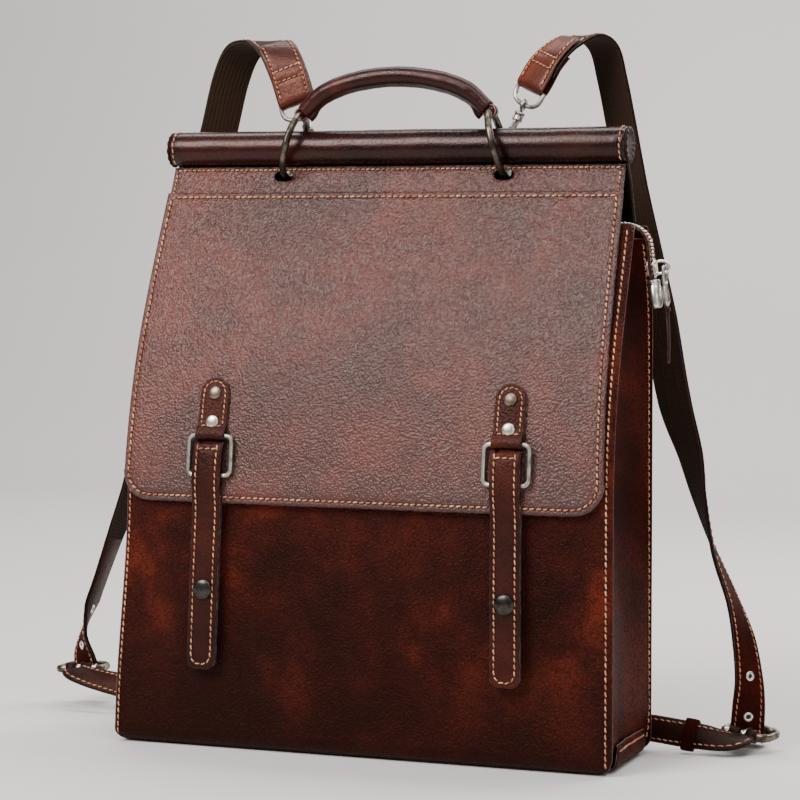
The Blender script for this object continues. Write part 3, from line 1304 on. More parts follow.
for name, (x, drift) in CLOSURES.items():
    for level, z, metal in (("upper", RIVET_ZS[0], BRONZE), ("lower", RIVET_ZS[1], BRIGHT)):
        place, out = outward_at(x, z, 2 * LAYER + 0.1)
        stem = [(0, -4.6), (2.3, -4.6), (2.3, -4.1), (1.45, -4.0), (1.45, 0.0)]
        stem += [(4.1, 0.0), (4.4, 0.25), (4.4, 0.6)]
        crown = [(4.4 * math.cos(a), 0.6 + 1.5 * math.sin(a)) for a in np.radians(np.arange(12, 90, 13))]
        rivet = lathe([*stem, *crown, (0, 2.1)], place, out, 40)
        stands_for = [f"rivet_{level}_{name}"]
        make_piece(f"rivet_head_{level}_{name}", *rivet, [metal], "flap", stands_for, "bronze")

    share = (TONGUE_TOP - SNAP_Z) / (TONGUE_TOP - TONGUE_BOTTOM)
    swell = float(front_swell(np.array([x]), np.array([SNAP_Z]))[0])
    at = np.array([x + drift * share, -HALF_DEPTH - swell * 0.5, SNAP_Z])
    front = 9.2
    cap = [(0, 2.3), (4.5, 2.3), (4.7, 2.6), (4.7, 3.7), (2.8, 3.7)]
    cap += [(2.8, front - 0.3), (6.5, front - 0.3), (6.85, front), (6.85, front + 0.5)]
    cap += [(6.85 * math.cos(a), front + 0.5 + 2.4 * math.sin(a)) for a in np.radians(np.arange(8, 90, 9))]
    dome = lathe([*cap, (0, front + 2.9)], at, (0, -1, 0), 48)
    make_piece(f"snap_dome_{name}", *dome, [BLACKENED], f"closure_{name}", [f"snap_cap_{name}"], "bronze")
    stud_at = np.array([at[0], -HALF_DEPTH - float(front_swell(at[:1], at[2:])[0]), SNAP_Z])
    stud = [(0, -0.4), (5.2, -0.4), (5.4, 0.1), (5.0, 0.7), (2.7, 0.9), (2.4, 1.2), (2.7, 1.6), (2.2, 1.9)]
    stud += [(0, 1.9)]
    post = lathe(stud, stud_at, (0, -1, 0), 40)
    make_piece(f"snap_post_{name}", *post, [BRONZE], "bag", [f"snap_stud_{name}"], "bronze")

# %% Square rings
for name, (x, _) in CLOSURES.items():
    top_bar, low_bar = bar_place(x, BAR_Z), bar_place(x, BAR_Z - RING_DROP)
    up = unit(top_bar - low_bar)
    middle = (top_bar + low_bar) / 2
    loop = rounded_box_loop(30.0, np.linalg.norm(top_bar - low_bar), 4.0, 8)
    loop = walk(loop, 2.0, closed=True)
    path = [middle + np.array([1, 0, 0]) * a + up * b for a, b in loop]
    wire = tube(path, SQUARE_WIRE + 0.1, closed=True, sides=20)
    make_piece(f"square_wire_{name}", *wire, [NICKEL], f"closure_{name}", [f"square_ring_{name}"], "nickel")

# %% Tongues
for name, (x, drift) in CLOSURES.items():
    back_off, layer = 4.75, 2.05

    def on_front(z, off, x=x):
        swell = float(front_swell(np.array([x]), np.array([z]))[0]) * smooth_step(190, 120, z) * 0.55
        return on_wall(FRONT, z, off + swell)

    back_heights = (55.0, 75.0, 95.0, 115.0, 135.0, 150.0, 162.0, 172.0, 181.0, 190.0, 196.5)
    back_rows = [on_front(z, back_off) for z in back_heights]
    front_low = [on_front(z, back_off + layer) for z in (53.2, *back_heights[1:6])]
    over_bar = ((161.0, 7.4), (170.0, 9.4), (178.0, 10.6), (188.0, 10.8), (196.0, 10.4))
    front_high = [on_front(z, off) for z, off in over_bar]
    crest = [on_front(z, off) for z, off in ((200.0, 8.9), (200.6, 7.2), (198.0, 5.6))]
    inner_line = curve_through([*front_low, *front_high, *crest], 5)
    profile = Profile(inner_line, -1)
    surface = strip_surface(profile, x, 61 if name == "left" else 62, drift, profile.length, cup=0.3)
    end = profile.length
    turns = np.radians(np.arange(0, 91, 15))
    nose = [(TONGUE_HALF - 6 + 6 * math.cos(a), 6.3 - 6 * math.sin(a)) for a in turns]
    half_line = [(TONGUE_HALF, end - 0.2), *nose]
    outline = mirrored(half_line)[::-1]
    inside_line = [(TONGUE_HALF - 2.9, end - 6)]
    inside_line += [(TONGUE_HALF - 8.3 + 5.4 * math.cos(a), 8.6 - 5.4 * math.sin(a)) for a in turns]
    seam = walk(mirrored(inside_line), 1.6)
    fold_row = np.array([(-TONGUE_HALF + 3, end - 9.0), (TONGUE_HALF - 3, end - 9.0)])
    cut_leather(f"tongue_face_{name}", outline, surface, layer, [CLOSURE_LEATHER, EDGE], f"closure_{name}",
                seams=[seam, fold_row], step=2.6, groove=0.45, stands_for=[f"tongue_{name}"],
                slot="body_leather", edge_step=1.6)
    sew(f"tongue_stitches_{name}", [seam, fold_row], surface, layer - 0.1, f"closure_{name}", width=0.95)
    behind = Profile(curve_through(back_rows, 4), -1)
    back_place = strip_surface(behind, x, 63, drift, behind.length, cup=0.0)
    shorter = [(a, min(max(b - 1.6, 0.2), behind.length - 0.2)) for a, b in half_line]
    back_cut = [(-a, b) for a, b in shorter] + shorter[::-1]
    cut_leather(f"tongue_back_{name}", back_cut, back_place, layer - 0.1, [CLOSURE_LEATHER, EDGE],
                f"closure_{name}", step=4.0, slot="body_leather", edge_step=2.0)
print("tongues made")

# %% [markdown]
# ## Shoulder straps
# Each strap is ribbed webbing on the wearer's side, faced with hide. Its upper end is a tan
# leather strip sewn over a ring, with two rows across. Lower down it narrows into a leather
# adjuster with eyelets, which passes through the buckle. The route's rows are centre points in
# millimetres and the bearing of the strap's width, from the ring down to the tail.

# %% Strap routes
STRAP_WIDTH, ADJUSTER_WIDTH, LOWER_WIDTH = 26.0, 22.0, 18.0
STRAP_ROUTES = {
    "right": [
        (85, 50, 440, -20), (94, 53, 456, -22), (105, 60, 468, -25), (117, 71, 474, -25),
        (125, 82, 467, -26), (129, 89, 447, -26), (134, 94, 418, -26), (142, 98, 373, -25),
        (151, 99, 332, -20), (162, 98, 285, -15), (174, 93, 231, -20), (187, 88, 195, -40),
        (195, 84, 165, -60), (206, 81, 130, -80), (219, 80, 99, -95), (227, 79, 73, -118),
        (231, 78, 47, -132), (231, 78, 28, -155), (230, 81, 14, -172), (229, 92, 4.6, -176),
        (228, 107, 3, -178)],
    "left": [
        (-85, 50, 434, 5), (-94, 53, 456, 10), (-105, 60, 470, 18), (-120, 71, 476, 22),
        (-139, 82, 471, 24), (-152, 90, 452, 25), (-163, 95, 417, 25), (-176, 99, 375, 25),
        (-186, 100, 335, 28), (-196, 98, 288, 35), (-205, 93, 237, 45), (-214, 87, 193, 60),
        (-223, 83, 160, 75), (-236, 80, 125, 86), (-247, 78, 93, 92), (-254, 78, 74, 92),
        (-260, 78, 52, 122), (-260.5, 79.5, 36, 155), (-259.5, 85, 21, 176), (-258, 98, 13.5, 178)],
}
LOWER_ROUTES = {
    "right": [
        (171.5, 56.5, 14, 0, 0.15, 1), (188, 55, 12.5, 0, 0.3, 0.95), (205, 53.5, 11, -0.1, 0.55, 0.8),
        (219, 53.5, 9.5, -0.2, 0.75, 0.6), (227.5, 58, 10, -0.85, 0.45, 0.3), (229.5, 67, 11.5, -1, 0, 0.05)],
    "left": [
        (-171.5, 56.5, 16, 0, 0.15, 1), (-190, 55, 16, 0, 0.3, 0.95), (-210, 54, 18, 0.1, 0.5, 0.85),
        (-232, 53, 21.5, 0.1, 0.7, 0.7), (-249, 53.5, 25, 0.3, 0.75, 0.5), (-258, 58.5, 26.5, 0.9, 0.45, 0.2),
        (-259.5, 67, 26.5, 1, 0.02, 0.05)],
}


def strap_route(name):
    rows = STRAP_ROUTES[name]
    bearings = [math.radians(row[3]) for row in rows]
    return route_through([row[:3] for row in rows], [(math.cos(b), math.sin(b), 0) for b in bearings])


def lower_route(name):
    rows = LOWER_ROUTES[name]
    return route_through([row[:3] for row in rows], [row[3:] for row in rows])


def strap_half(t):
    return 0.5 * (STRAP_WIDTH + (ADJUSTER_WIDTH - STRAP_WIDTH) * float(smooth_step(0.62, 0.72, t)))


def slab(half, low, high, corner=0.5, ribs=0):
    """A strap's section: a flat slab with round corners, its lower or upper face ribbed."""
    steps, depth = max(2, ribs * 4), 0.22 if ribs else 0.0
    top = []
    for i in range(steps + 1):
        dip = depth * (1 - math.cos(math.tau * i / 4))
        top.append((half - corner - (2 * half - 2 * corner) * i / steps, high - dip))
    right = [(half, low + corner), (half, high - corner)]
    left = [(-half, high - corner), (-half, low + corner)]
    return [*right, *top, *left, (-half + corner, low), (half - corner, low)]


def picked(along, s, rows):
    """Rows of vectors read off at places along a line."""
    return np.stack([np.interp(along, s, rows[:, k]) for k in range(3)], axis=-1)


def along_route(route, t0, t1):
    """A surface (across, along) on a strap's route, and how far along it its places are."""
    shares = np.linspace(t0, t1, 240)
    centres, acrosses, normals = (np.array(v) for v in zip(*[route(t) for t in shares]))
    s = distances(centres)

    def surface(u, along, height):
        u, along, height = (np.asarray(v, float) for v in (u, along, height))
        flat = picked(along, s, centres) + picked(along, s, acrosses) * u[..., None]
        return flat + picked(along, s, normals) * height[..., None]
    return surface, s


def leather_strip(name, route, t0, t1, half_at, low, thick, outward, finishes, body, stands_for=(), slot=None,
                  pitch=None, round_end=False, step=5.0):
    """A flat strip of leather along a route. outward, +1 or -1, is the side of its face."""
    surface, s = along_route(route, t0, t1)

    def face(u, along, height):
        return surface(u, along, outward * (np.asarray(height, float) + low))

    length = s[-1]
    edge = []
    for a in np.linspace(0.2, length - 0.2, max(12, int(length / 5))):
        share = float(np.interp(a, s, np.linspace(0, 1, len(s))))
        half = half_at(t0 + (t1 - t0) * share)
        if round_end and a >= length - half:
            half = math.sqrt(max(0.5, half * half - (a - length + half) ** 2))
        edge.append((half, a))
    outline = mirrored(edge)
    rows = []
    if pitch:
        rows = [np.array([(side * (w - 2.8), a) for w, a in edge[1:-1]]) for side in (-1, 1)]
    cut_leather(name, outline, face, thick, finishes, body, seams=rows, step=step, groove=0.3,
                stands_for=stands_for, slot=slot, edge_step=3.0)
    if pitch:
        sew(f"{name}_stitches", rows, face, thick - 0.1, body, pitch=pitch, width=0.85)


def folded_strip(name, route, outer_share, inner_share, half, low, thick, finishes, body, stands_for, slot,
                 cross_rows):
    """A strip that comes up one side of a strap's end, turns round its ring's bar and goes down the other."""
    centre, across, normal = route(0)
    ahead = unit(route(0.01)[0] - centre)
    rows = [route(t) for t in np.linspace(inner_share, 0, 24)]
    turns = np.linspace(0, math.pi, 17)[1:-1]
    rows += [(centre, across, normal * math.cos(a) - ahead * math.sin(a)) for a in turns]
    rows += [(*route(t)[:2], -route(t)[2]) for t in np.linspace(0, outer_share, 36)]
    middles, acrosses, facings = (np.array(v) for v in zip(*rows))
    s = distances(middles + facings * (low + thick / 2))
    fold = s[23 + len(turns) // 2]

    def face(u, along, height):
        u, along, height = (np.asarray(v, float) for v in (u, along, height))
        out = picked(along, s, facings)
        out = out / np.linalg.norm(out, axis=-1, keepdims=True)
        belly = 0.25 * (1 - (u / half) ** 2)
        flat = picked(along, s, middles) + picked(along, s, acrosses) * u[..., None]
        return flat + out * (low + height + belly)[..., None]

    end = s[-1] - 0.2
    outline = mirrored([(half, 0.2), (half, end - 2.5), (half - 2.5, end)])
    seam_x = half - 2.9
    seams = [np.array([(side * seam_x, fold + 8), (side * seam_x, end - 2.8)]) for side in (-1, 1)]
    seams += [np.array([(-half + 3.2, fold + a), (half - 3.2, fold + a)]) for a in cross_rows]
    cut_leather(name, outline, face, thick, finishes, body, seams=seams, step=2.6, groove=0.35,
                stands_for=stands_for, slot=slot, edge_step=1.8)
    sew(f"{name}_stitches", seams, face, thick - 0.1, body, pitch=3.7, width=0.95)


# %% Webbing and facing
EYELET_SHARES = {"right": (0.795, 0.868), "left": (0.80, 0.872)}
upper_lip = [(1.5, 2.0), (1.9, 2.35), (2.9, 2.2), (3.4, 1.75), (3.3, 1.5), (2.2, 1.5)]
eyelet_loop = [(1.5, -2.0), *upper_lip, *[(r, -h) for r, h in upper_lip[:0:-1]]]
for name, _ in SIDES:
    route = strap_route(name)
    ribbed = sweep(route, lambda t: slab(strap_half(t) - 0.5, 0.05, 1.55, 0.4, ribs=9), 260, 0.028, 0.70)
    make_piece(f"strap_webbing_{name}", *ribbed, [WEBBING], "bag", [f"shoulder_strap_{name}"], "webbing")
    leather_strip(f"strap_facing_{name}", route, 0.028, 0.655, strap_half, 0.0, 1.4, -1,
                  [DARK_LEATHER, EDGE], "bag", slot="webbing", pitch=5.0)
    leather_strip(f"adjuster_face_{name}", route, 0.645, 1.0, strap_half, 0.0, 1.45, -1,
                  [SIDE_LEATHER, EDGE], "bag", slot="webbing", pitch=4.2, round_end=True, step=3.4)
    backing = sweep(route, lambda t: slab(strap_half(t) - 0.15, 0.05, 1.5, 0.5), 120, 0.69, 0.992)
    make_piece(f"adjuster_back_{name}", *backing, [DARK_LEATHER], "bag", [], "webbing")
    for k, share in enumerate(EYELET_SHARES[name]):
        centre, _, normal = route(share)
        pile = Pile()
        pile.add(*hollow_lathe(eyelet_loop, centre, normal, 32))
        pile.add(*lathe([(0, -1.75), (1.55, -1.75), (1.55, 1.75), (0, 1.75)], centre, normal, 24), kind=1)
        pile.piece(f"eyelet_{k + 1}_{name}", [BRIGHT, HOLE], "bag", [], "nickel")
print("straps made")

# %% [markdown]
# ## Strap ends, rings and snap hooks
# The tan end strip is doubled over the flat bar of a D-shaped ring. From the ring's bow hangs a
# swivel eye, and from that a snap hook with a sprung gate, closed round the anchor ring that is
# sewn to the bag behind the rod.

# %% Strap heads
STRAP_END_SHARE = 0.115


def strap_head(name):
    centre, across, _ = strap_route(name)(0)
    hang = np.array([-0.35 if name == "right" else 0.35, -0.1, -1.0])
    hang = unit(hang - across * (hang @ across))
    return centre + hang * 2.4, across, hang


def hook_frame(name):
    side = 1 if name == "right" else -1
    centre, _, hang = strap_head(name)
    eye = centre + hang * 11.5
    tip = np.array([side * 69, 46, 404.2])
    axis = unit(tip - eye)
    beside = unit(np.array([1, 0, 0]) - axis * axis[0])
    return eye, axis, np.cross(axis, beside), np.linalg.norm(tip - eye)


for name, _ in SIDES:
    centre, across, hang = strap_head(name)
    folded_strip(f"strap_tan_{name}", strap_route(name), STRAP_END_SHARE, STRAP_END_SHARE - 0.035,
                 STRAP_WIDTH / 2 - 0.4, 2.0, 1.9, [TAN_LEATHER, EDGE], "bag", [f"strap_end_{name}"],
                 "tan_leather", (20.0, 28.0))
    d_turns = math.pi + np.linspace(0, math.pi, 33)
    bow = [(12.5 * math.cos(a), -11.5 * math.sqrt(abs(math.sin(a)))) for a in d_turns]
    bow += [(12.5 - 25 * k / 10, 0) for k in range(1, 10)]
    path = [centre + across * a - hang * b for a, b in bow]
    wire = tube(path, 1.55, closed=True)
    make_piece(f"strap_d_ring_{name}", *wire, [NICKEL], "bag", [f"strap_ring_{name}"], "nickel")

# %% Hooks
for name, _ in SIDES:
    eye, axis, out, length = hook_frame(name)
    pile = Pile()
    turns = np.linspace(0, math.tau, 28, endpoint=False)
    loop = [eye + axis * 3.3 * math.cos(a) + out * 3.3 * math.sin(a) for a in turns]
    pile.add(*tube(loop, 1.15, closed=True, sides=14))
    pin = [(0, 3.6), (1.3, 3.6), (1.3, 8.1), (2.1, 8.3), (2.1, 9.2), (1.6, 9.5), (0, 9.5)]
    pile.add(*lathe(pin, eye, axis, 20))
    pile.piece(f"swivel_eye_{name}", [NICKEL], "bag", [f"hook_eye_{name}"], "nickel")

    pile = Pile()
    barrel = [(1.75, 5.2), (1.75, 7.8), (2.55, 7.9), (2.55, 10.2), (2.2, 11.6), (3.0, 11.9), (3.5, 11.2)]
    barrel += [(3.6, 10.4), (3.2, 9.9), (3.2, 7.0), (3.6, 6.5), (3.5, 5.5), (2.6, 5.1)]
    pile.add(*hollow_lathe(barrel, eye, axis, 32))
    turns = np.radians(-150 + np.linspace(0, 250, 22))
    tip = eye + axis * length
    bow = [tip + axis * 4.4 * math.cos(a) + out * 4.4 * math.sin(a) for a in turns]
    line = curve_through([eye + axis * 11 - out * 1.4, *bow], 4)
    taper = np.interp(np.linspace(0, 1, len(line)), [0, 0.25, 0.7, 1], [1.7, 1.5, 1.5, 1.2])
    nose, sizes = round_ended(line, taper)
    pile.add(*tube(nose, sizes, sides=18))
    pile.piece(f"hook_wire_{name}", [NICKEL], f"hook_{name}", [f"hook_body_{name}"], "nickel")

    start = eye + axis * 12.2 + out * 2.6
    finish = eye + axis * (length - 3) + out * 5.2
    line = curve_through([start, start * 0.5 + finish * 0.5 + out * 0.5, finish], 6)
    nose, sizes = round_ended(line, 1.0)
    pile = Pile()
    pile.add(*tube(nose, sizes, sides=16))
    thumb = finish * 0.55 + start * 0.45 + out * 1.5
    knob = [(0, -0.4), (1.0, -0.3), (1.15, 0.3), (0.9, 0.9), (0, 1.1)]
    pile.add(*lathe(knob, thumb - out * 0.5, out, 18))
    pile.piece(f"gate_wire_{name}", [NICKEL], f"gate_{name}", [f"hook_gate_{name}"], "nickel")
print("hooks made")

# %% Anchors
ANCHOR_X, ANCHOR_Y, ANCHOR_Z, ANCHOR_HALF = 69.0, 41.5, 383.0, 8.0
for name, side in SIDES:
    x = side * ANCHOR_X
    reach_out = 2.6
    low = [on_wall(BACK, z, reach_out) for z in (347.0, 352.0, 357.0, 362.0)]
    turns = np.radians([190.0, 160.0, 130.0, 100.0, 70.0, 40.0, 10.0, -20.0, -50.0])
    loop = [(ANCHOR_Y + 2.05 * math.cos(a), ANCHOR_Z + 2.05 * math.sin(a)) for a in turns]
    back_low = [on_wall(BACK, z, reach_out + 2.4) for z in (364.0, 358.0, 353.0, 348.5)]
    profile = Profile(curve_through([*low, *loop, *back_low], 4), -1)
    tab_place = lambda u, s, off, x=x, profile=profile: profile.place(x + np.asarray(u, float), s, off)
    end = profile.length
    right = [(ANCHOR_HALF, 0.2), (ANCHOR_HALF, end - 3), (ANCHOR_HALF - 3, end - 0.2)]
    outline = [(-ANCHOR_HALF, 0.2), *right, *[(-w, a) for w, a in right[:0:-1]]]
    seam_x, cross_x = ANCHOR_HALF - 2.2, ANCHOR_HALF - 2.8
    row = [np.array([(edge * seam_x, end - 17), (edge * seam_x, end - 3.5)]) for edge in (-1, 1)]
    row.append(np.array([(-ANCHOR_HALF + 2.8, end - 2.8), (cross_x, end - 2.8)]))
    cut_leather(f"anchor_leather_{name}", outline, tab_place, 1.7, [OXBLOOD, EDGE], "bag", seams=row,
                step=2.6, groove=0.25, stands_for=[f"anchor_tab_{name}"], slot="dark_leather", edge_step=1.6)
    sew(f"anchor_stitches_{name}", row, tab_place, 1.6, "bag", pitch=3.6, width=0.85)
    up = unit((0, 4.5, 21))
    loop = walk(rounded_box_loop(24.0, 21.5, 3.8, 8), 2.0, closed=True)
    bar = np.array([x, ANCHOR_Y, ANCHOR_Z])
    path = [bar + np.array([1, 0, 0]) * a + up * (b + 21.5 / 2) for a, b in loop]
    wire = tube(path, 1.55, closed=True)
    make_piece(f"anchor_wire_{name}", *wire, [NICKEL], "bag", [f"anchor_ring_{name}"], "nickel")
print("anchors made")

# %% [markdown]
# ## Buckles and lower straps
# A lower strap leaves each bottom corner and turns round the near bar of a wire buckle. The
# prong is curled round the same bar and rests on the far bar, through a hole in the adjuster.

# %% Buckles
BUCKLE_WIDTH, BUCKLE_LENGTH, BUCKLE_WIRE = 33.0, 21.0, 1.7


def buckle_frame(name):
    centre, across, _ = lower_route(name)(1)
    along = np.array([0, 1, 0.03 if name == "right" else -0.04])
    along = unit(along - across * (along @ across))
    up = np.cross(across, along)
    return centre + along * 2.5, across, along, up if up[2] > 0 else -up


for name, _ in SIDES:
    near, across, along, up = buckle_frame(name)
    middle = near + along * BUCKLE_LENGTH / 2
    loop = walk(rounded_box_loop(BUCKLE_WIDTH, BUCKLE_LENGTH, 4.6, 8), 2.0, closed=True)
    path = []
    for a, b in loop:
        arch = 0.9 * math.cos(a / BUCKLE_WIDTH * math.pi) * (b > 0)
        path.append(middle + across * a + along * b + up * arch)
    thick = BUCKLE_WIRE + 0.35 * smooth_step(BUCKLE_LENGTH / 2 - 3, BUCKLE_LENGTH / 2, loop[:, 1])
    points, faces = tube(path, thick, closed=True, sides=24)
    height = (points - middle) @ up
    points = points + up[None] * (height * 0.5)[:, None]
    pile = Pile()
    pile.add(points, faces)
    collar = [(2.15, 10.2), (2.15, 13.2), (2.5, 13.5), (2.95, 13.3)]
    collar += [(3.05, 12.9), (3.05, 10.5), (2.95, 10.1), (2.5, 9.9)]
    pile.add(*hollow_lathe([(r + 0.35, h) for r, h in collar], near, across, 40), kind=1)
    pile.piece(f"buckle_wire_{name}", [BRONZE, BRIGHT], "bag", [f"buckle_{name}"], "nickel")

    pile = Pile()
    lip = [(2.1, 1.6), (2.4, 1.9), (3.1, 1.9), (3.4, 1.6)]
    curl = [(2.1, -1.6), *lip, *[(r, -h) for r, h in lip[:0:-1]]]
    pile.add(*hollow_lathe(curl, near, across, 36))
    root = near + along * 2.4 + up * 1.7
    rest = near + along * (BUCKLE_LENGTH + 1.8) + up * 3.5
    line = curve_through([root, root * 0.5 + rest * 0.5 + up * 0.5, rest], 8)
    nose, sizes = round_ended(line, np.linspace(1.45, 1.0, len(line)))
    pile.add(*tube(nose, sizes, sides=16))
    pile.piece(f"prong_wire_{name}", [BRIGHT], f"prong_{name}", [f"buckle_prong_{name}"], "nickel")

# %% Lower straps
ROOT_SHARE = 0.18


def rooted_route(name, side):
    """The lower strap's route with a root before its start, where it is sewn to the bag's back."""
    route = lower_route(name)
    start, across, normal = route(0)
    root = np.array([side * 156.0, HALF_DEPTH + 1.9, start[2]])

    def place(t):
        if t >= 0:
            return route(t)
        share = -t / ROOT_SHARE
        drop = (1 - smooth_step(0, 1, share)) * (start[1] - root[1]) + root[1]
        return np.array([start[0] + (root[0] - start[0]) * share, drop, start[2]]), across, normal
    return place


for name, side in SIDES:
    near, across, _, _ = buckle_frame(name)
    route = rooted_route(name, side)
    pile = Pile()
    half = LOWER_WIDTH / 2
    pile.add(*sweep(route, lambda t: slab(half, -1.5, 1.5, 0.9), 76, -ROOT_SHARE, 0.985))
    lip = [(2.3, half), (2.8, half + 0.3), (4.0, half + 0.3), (4.5, half)]
    loop = [(2.3, -half), *lip, *[(r, -h) for r, h in lip[:0:-1]]]
    for part in (-1, 1):
        cheek = [(r, part * (half + 2.4) / 2 + (h / half) * (half - 2.4) / 2) for r, h in loop]
        points, faces = hollow_lathe(cheek, near, across, 40)
        pile.add(points, faces)
    pile.piece(f"corner_strap_{name}", [DARK_LEATHER], "bag", [f"lower_strap_{name}"], "dark_leather")
    for face_side in (1, -1):
        surface, s = along_route(route, -ROOT_SHARE + 0.01, 0.93)
        seam_x = half - 2.6
        rows = [np.array([(edge * seam_x, 2.0), (edge * seam_x, s[-1] - 2.0)]) for edge in (-1, 1)]
        put = lambda u, a, h, surface=surface, way=face_side: surface(u, a, way * np.asarray(h, float))
        letter = "a" if face_side > 0 else "b"
        sew(f"corner_stitches_{name}_{letter}", rows, put, 1.45, "bag", pitch=4.2, width=0.8)
    outer = []
    for i in range(7):
        bulge = 0.25 * math.sin(math.pi * i / 6)
        outer.append(rounded_box_loop(2 * half + 3.6 + bulge, 6.4 + bulge, 2.0, 5))
    lined = [rounded_box_loop(2 * half + 1.0, 3.9, 1.2, 5)] * 7
    rows = []
    for i, ring in zip([*range(7), *range(6, -1, -1)], outer + lined):
        centre, side_way, normal = route(0.262 + 0.096 * i / 6)
        rows.append([centre + side_way * a + normal * b for a, b in ring])
    points = np.array(rows).reshape(-1, 3)
    faces = skin(len(rows), len(rows[0]), closed=True)
    stands_for = [f"strap_keeper_{name}"]
    make_piece(f"keeper_band_{name}", points, faces, [SIDE_LEATHER], "bag", stands_for, "dark_leather")
print("buckles made")

# %% [markdown]
# ## Zip
# The mouth closes with a metal zip. Two tapes run along it, each with a row of teeth, and the
# closed end leaves the bag over the right gusset and hangs down outside. That end is faced with
# hide, carries the slider and its pull, and is finished with a metal cap.

# %% Zip shapes
ZIP_Y = 12.0
ZIP_TOP, ZIP_FOOT = np.array([176, ZIP_Y, 333.0]), np.array([178.6, ZIP_Y, 311.5])
ZIP_SLIDE = unit(ZIP_TOP - ZIP_FOOT)
ZIP_OUT = np.array([ZIP_SLIDE[2], 0, -ZIP_SLIDE[0]])
SLIDER_CENTRE = ZIP_FOOT + ZIP_SLIDE * 7
LUG = 8.6
PULL_EYE = SLIDER_CENTRE + ZIP_OUT * LUG
ACROSS_ZIP = np.array([0, 1.0, 0])


def plate(loop, thick, origin, across, up, bevel=0.35):
    """A flat plate with softened edges, cut to a closed loop in (across, up) places."""
    facing = np.cross(across, up)
    loop = np.asarray(loop, float)
    middle = loop.mean(axis=0)
    rows = []
    edge = 0.5 * thick
    for height, shrink in ((-edge, bevel), (-edge + bevel, 0), (edge - bevel, 0), (edge, bevel)):
        spread = loop - middle
        size = np.linalg.norm(spread, axis=1, keepdims=True)
        flat = middle + spread * (size - shrink) / size
        rows.append([origin + across * a + up * b + facing * height for a, b in flat])
    return np.array(rows).reshape(-1, 3), skin(len(rows), len(loop), capped=True)


def tooth(pile, place, along, across):
    """One metal tooth: a small block that narrows towards its tip."""
    shape = [(-0.85, -1.1), (0.85, -1.1), (0.8, 0.5), (0.45, 1.15), (-0.45, 1.15), (-0.8, 0.5)]
    pile.add(*plate(shape, 1.5, place, along, across, 0.2), kind=1)


# %% Tapes
for name, wall, edge in (("front", FRONT, 11.6), ("back", BACK, 26.1)):
    side = wall["side"]
    root = depth_inside(wall, 344, PANEL + 0.3)
    stations = np.linspace(-149.5, 149.5, 150)
    sag = lambda x, share: 0.35 * wander(x, share * 20, 70, 71) * share
    rows = []
    for x in stations:
        upper = [(root + (edge - root) * t, 342.85 + sag(x, t)) for t in np.linspace(0, 1, 6)]
        lower = [(y, z - 0.75) for y, z in upper[::-1]]
        rows.append([(x, y, z) for y, z in upper + lower])
    size = len(rows[0])
    faces = skin(len(rows), size)
    last = (len(stations) - 1) * size
    faces += [(k, k + 1, size - 2 - k, size - 1 - k) for k in range(5)]
    faces += [(last + k, last + k + 1, last + size - 2 - k, last + size - 1 - k) for k in range(5)]
    pile = Pile()
    pile.add(np.array(rows).reshape(-1, 3), faces)
    cord_line = [(x, edge, 342.5 + sag(x, 1.0)) for x in stations]
    pile.add(*tube(cord_line, 0.95, sides=10))
    for x in np.arange(-148.0, 148.1, 2.5):
        place = np.array([x, edge - side * 0.5, 342.5 + sag(x, 1.0)])
        tooth(pile, place, np.array([1.0, 0, 0]), ACROSS_ZIP * -side)
    pile.piece(f"zip_row_{name}", [ZIP_CLOTH, BRONZE], "bag", [f"zip_tape_{name}"], "zip_cloth")
print("tapes made")

# %% Hanging end
tab_rows = [(x, ZIP_Y, z) for x, z in ((150.5, 345.8), (161, 346.4), (169.5, 343.5), (174.3, 338.5))]
tab_rows += [ZIP_TOP, (ZIP_TOP + ZIP_FOOT) / 2, ZIP_FOOT]
tab_route = route_through(tab_rows, [ACROSS_ZIP] * len(tab_rows))
outer_side = 1 if tab_route(0.9)[2] @ ZIP_OUT > 0 else -1
leather_strip("zip_end_leather", tab_route, 0.0, 1.0, lambda t: 7.0, -0.3, 1.1, -outer_side,
              [SIDE_LEATHER, EDGE], "bag", stands_for=["zip_end_tab"], slot="zip_cloth", step=2.2)
surface, s = along_route(tab_route, 0.0, 1.0)
place_out = lambda u, a, h: surface(u, a, outer_side * np.asarray(h, float))
outline = np.array([(-7, 0.2), (7, 0.2), (7, s[-1] - 0.2), (-7, s[-1] - 0.2)])
cut_leather("zip_end_cloth", outline, place_out, 0.5, [SIDE_LEATHER, EDGE], "bag", base=0.25, step=2.2,
            slot="zip_cloth", edge_step=1.4)
edge_rows = [np.array([(edge * 5.4, 1.5), (edge * 5.4, s[-1] - 1.5)]) for edge in (-1, 1)]
sew("zip_end_stitches", edge_rows, place_out, 0.7, "bag", pitch=3.2, width=0.75)
pile = Pile()
for a in np.arange(2.0, s[-1] - 1.0, 2.3):
    here = place_out(np.array([0.0]), np.array([a]), np.array([1.0]))[0]
    ahead = unit(place_out(np.array([0.0]), np.array([min(a + 0.5, s[-1])]), np.array([1.0]))[0] - here)
    loop = rounded_box_loop(1.35, 4.2, 0.5, 3)
    pile.add(*plate(loop, 1.3, here, ahead, ACROSS_ZIP, 0.25))
pile.piece("zip_end_teeth", [BRIGHT], "bag", [], "zip_cloth")

# %% Cap
cap = [(0, 0.3), (3.5, 0.3), (4.1, 0.7), (4.3, 1.5), (4.3, 3.2), (4.0, 3.5), (4.0, 4.2), (4.3, 4.5)]
cap += [(4.3, 16.6), (4.05, 17.5), (3.4, 18.3), (2.2, 18.75), (0, 18.85)]
make_piece("zip_cap", *lathe(cap, ZIP_FOOT, -ZIP_SLIDE, 48), [BRIGHT], "bag", ["zip_end_cap"], "nickel")

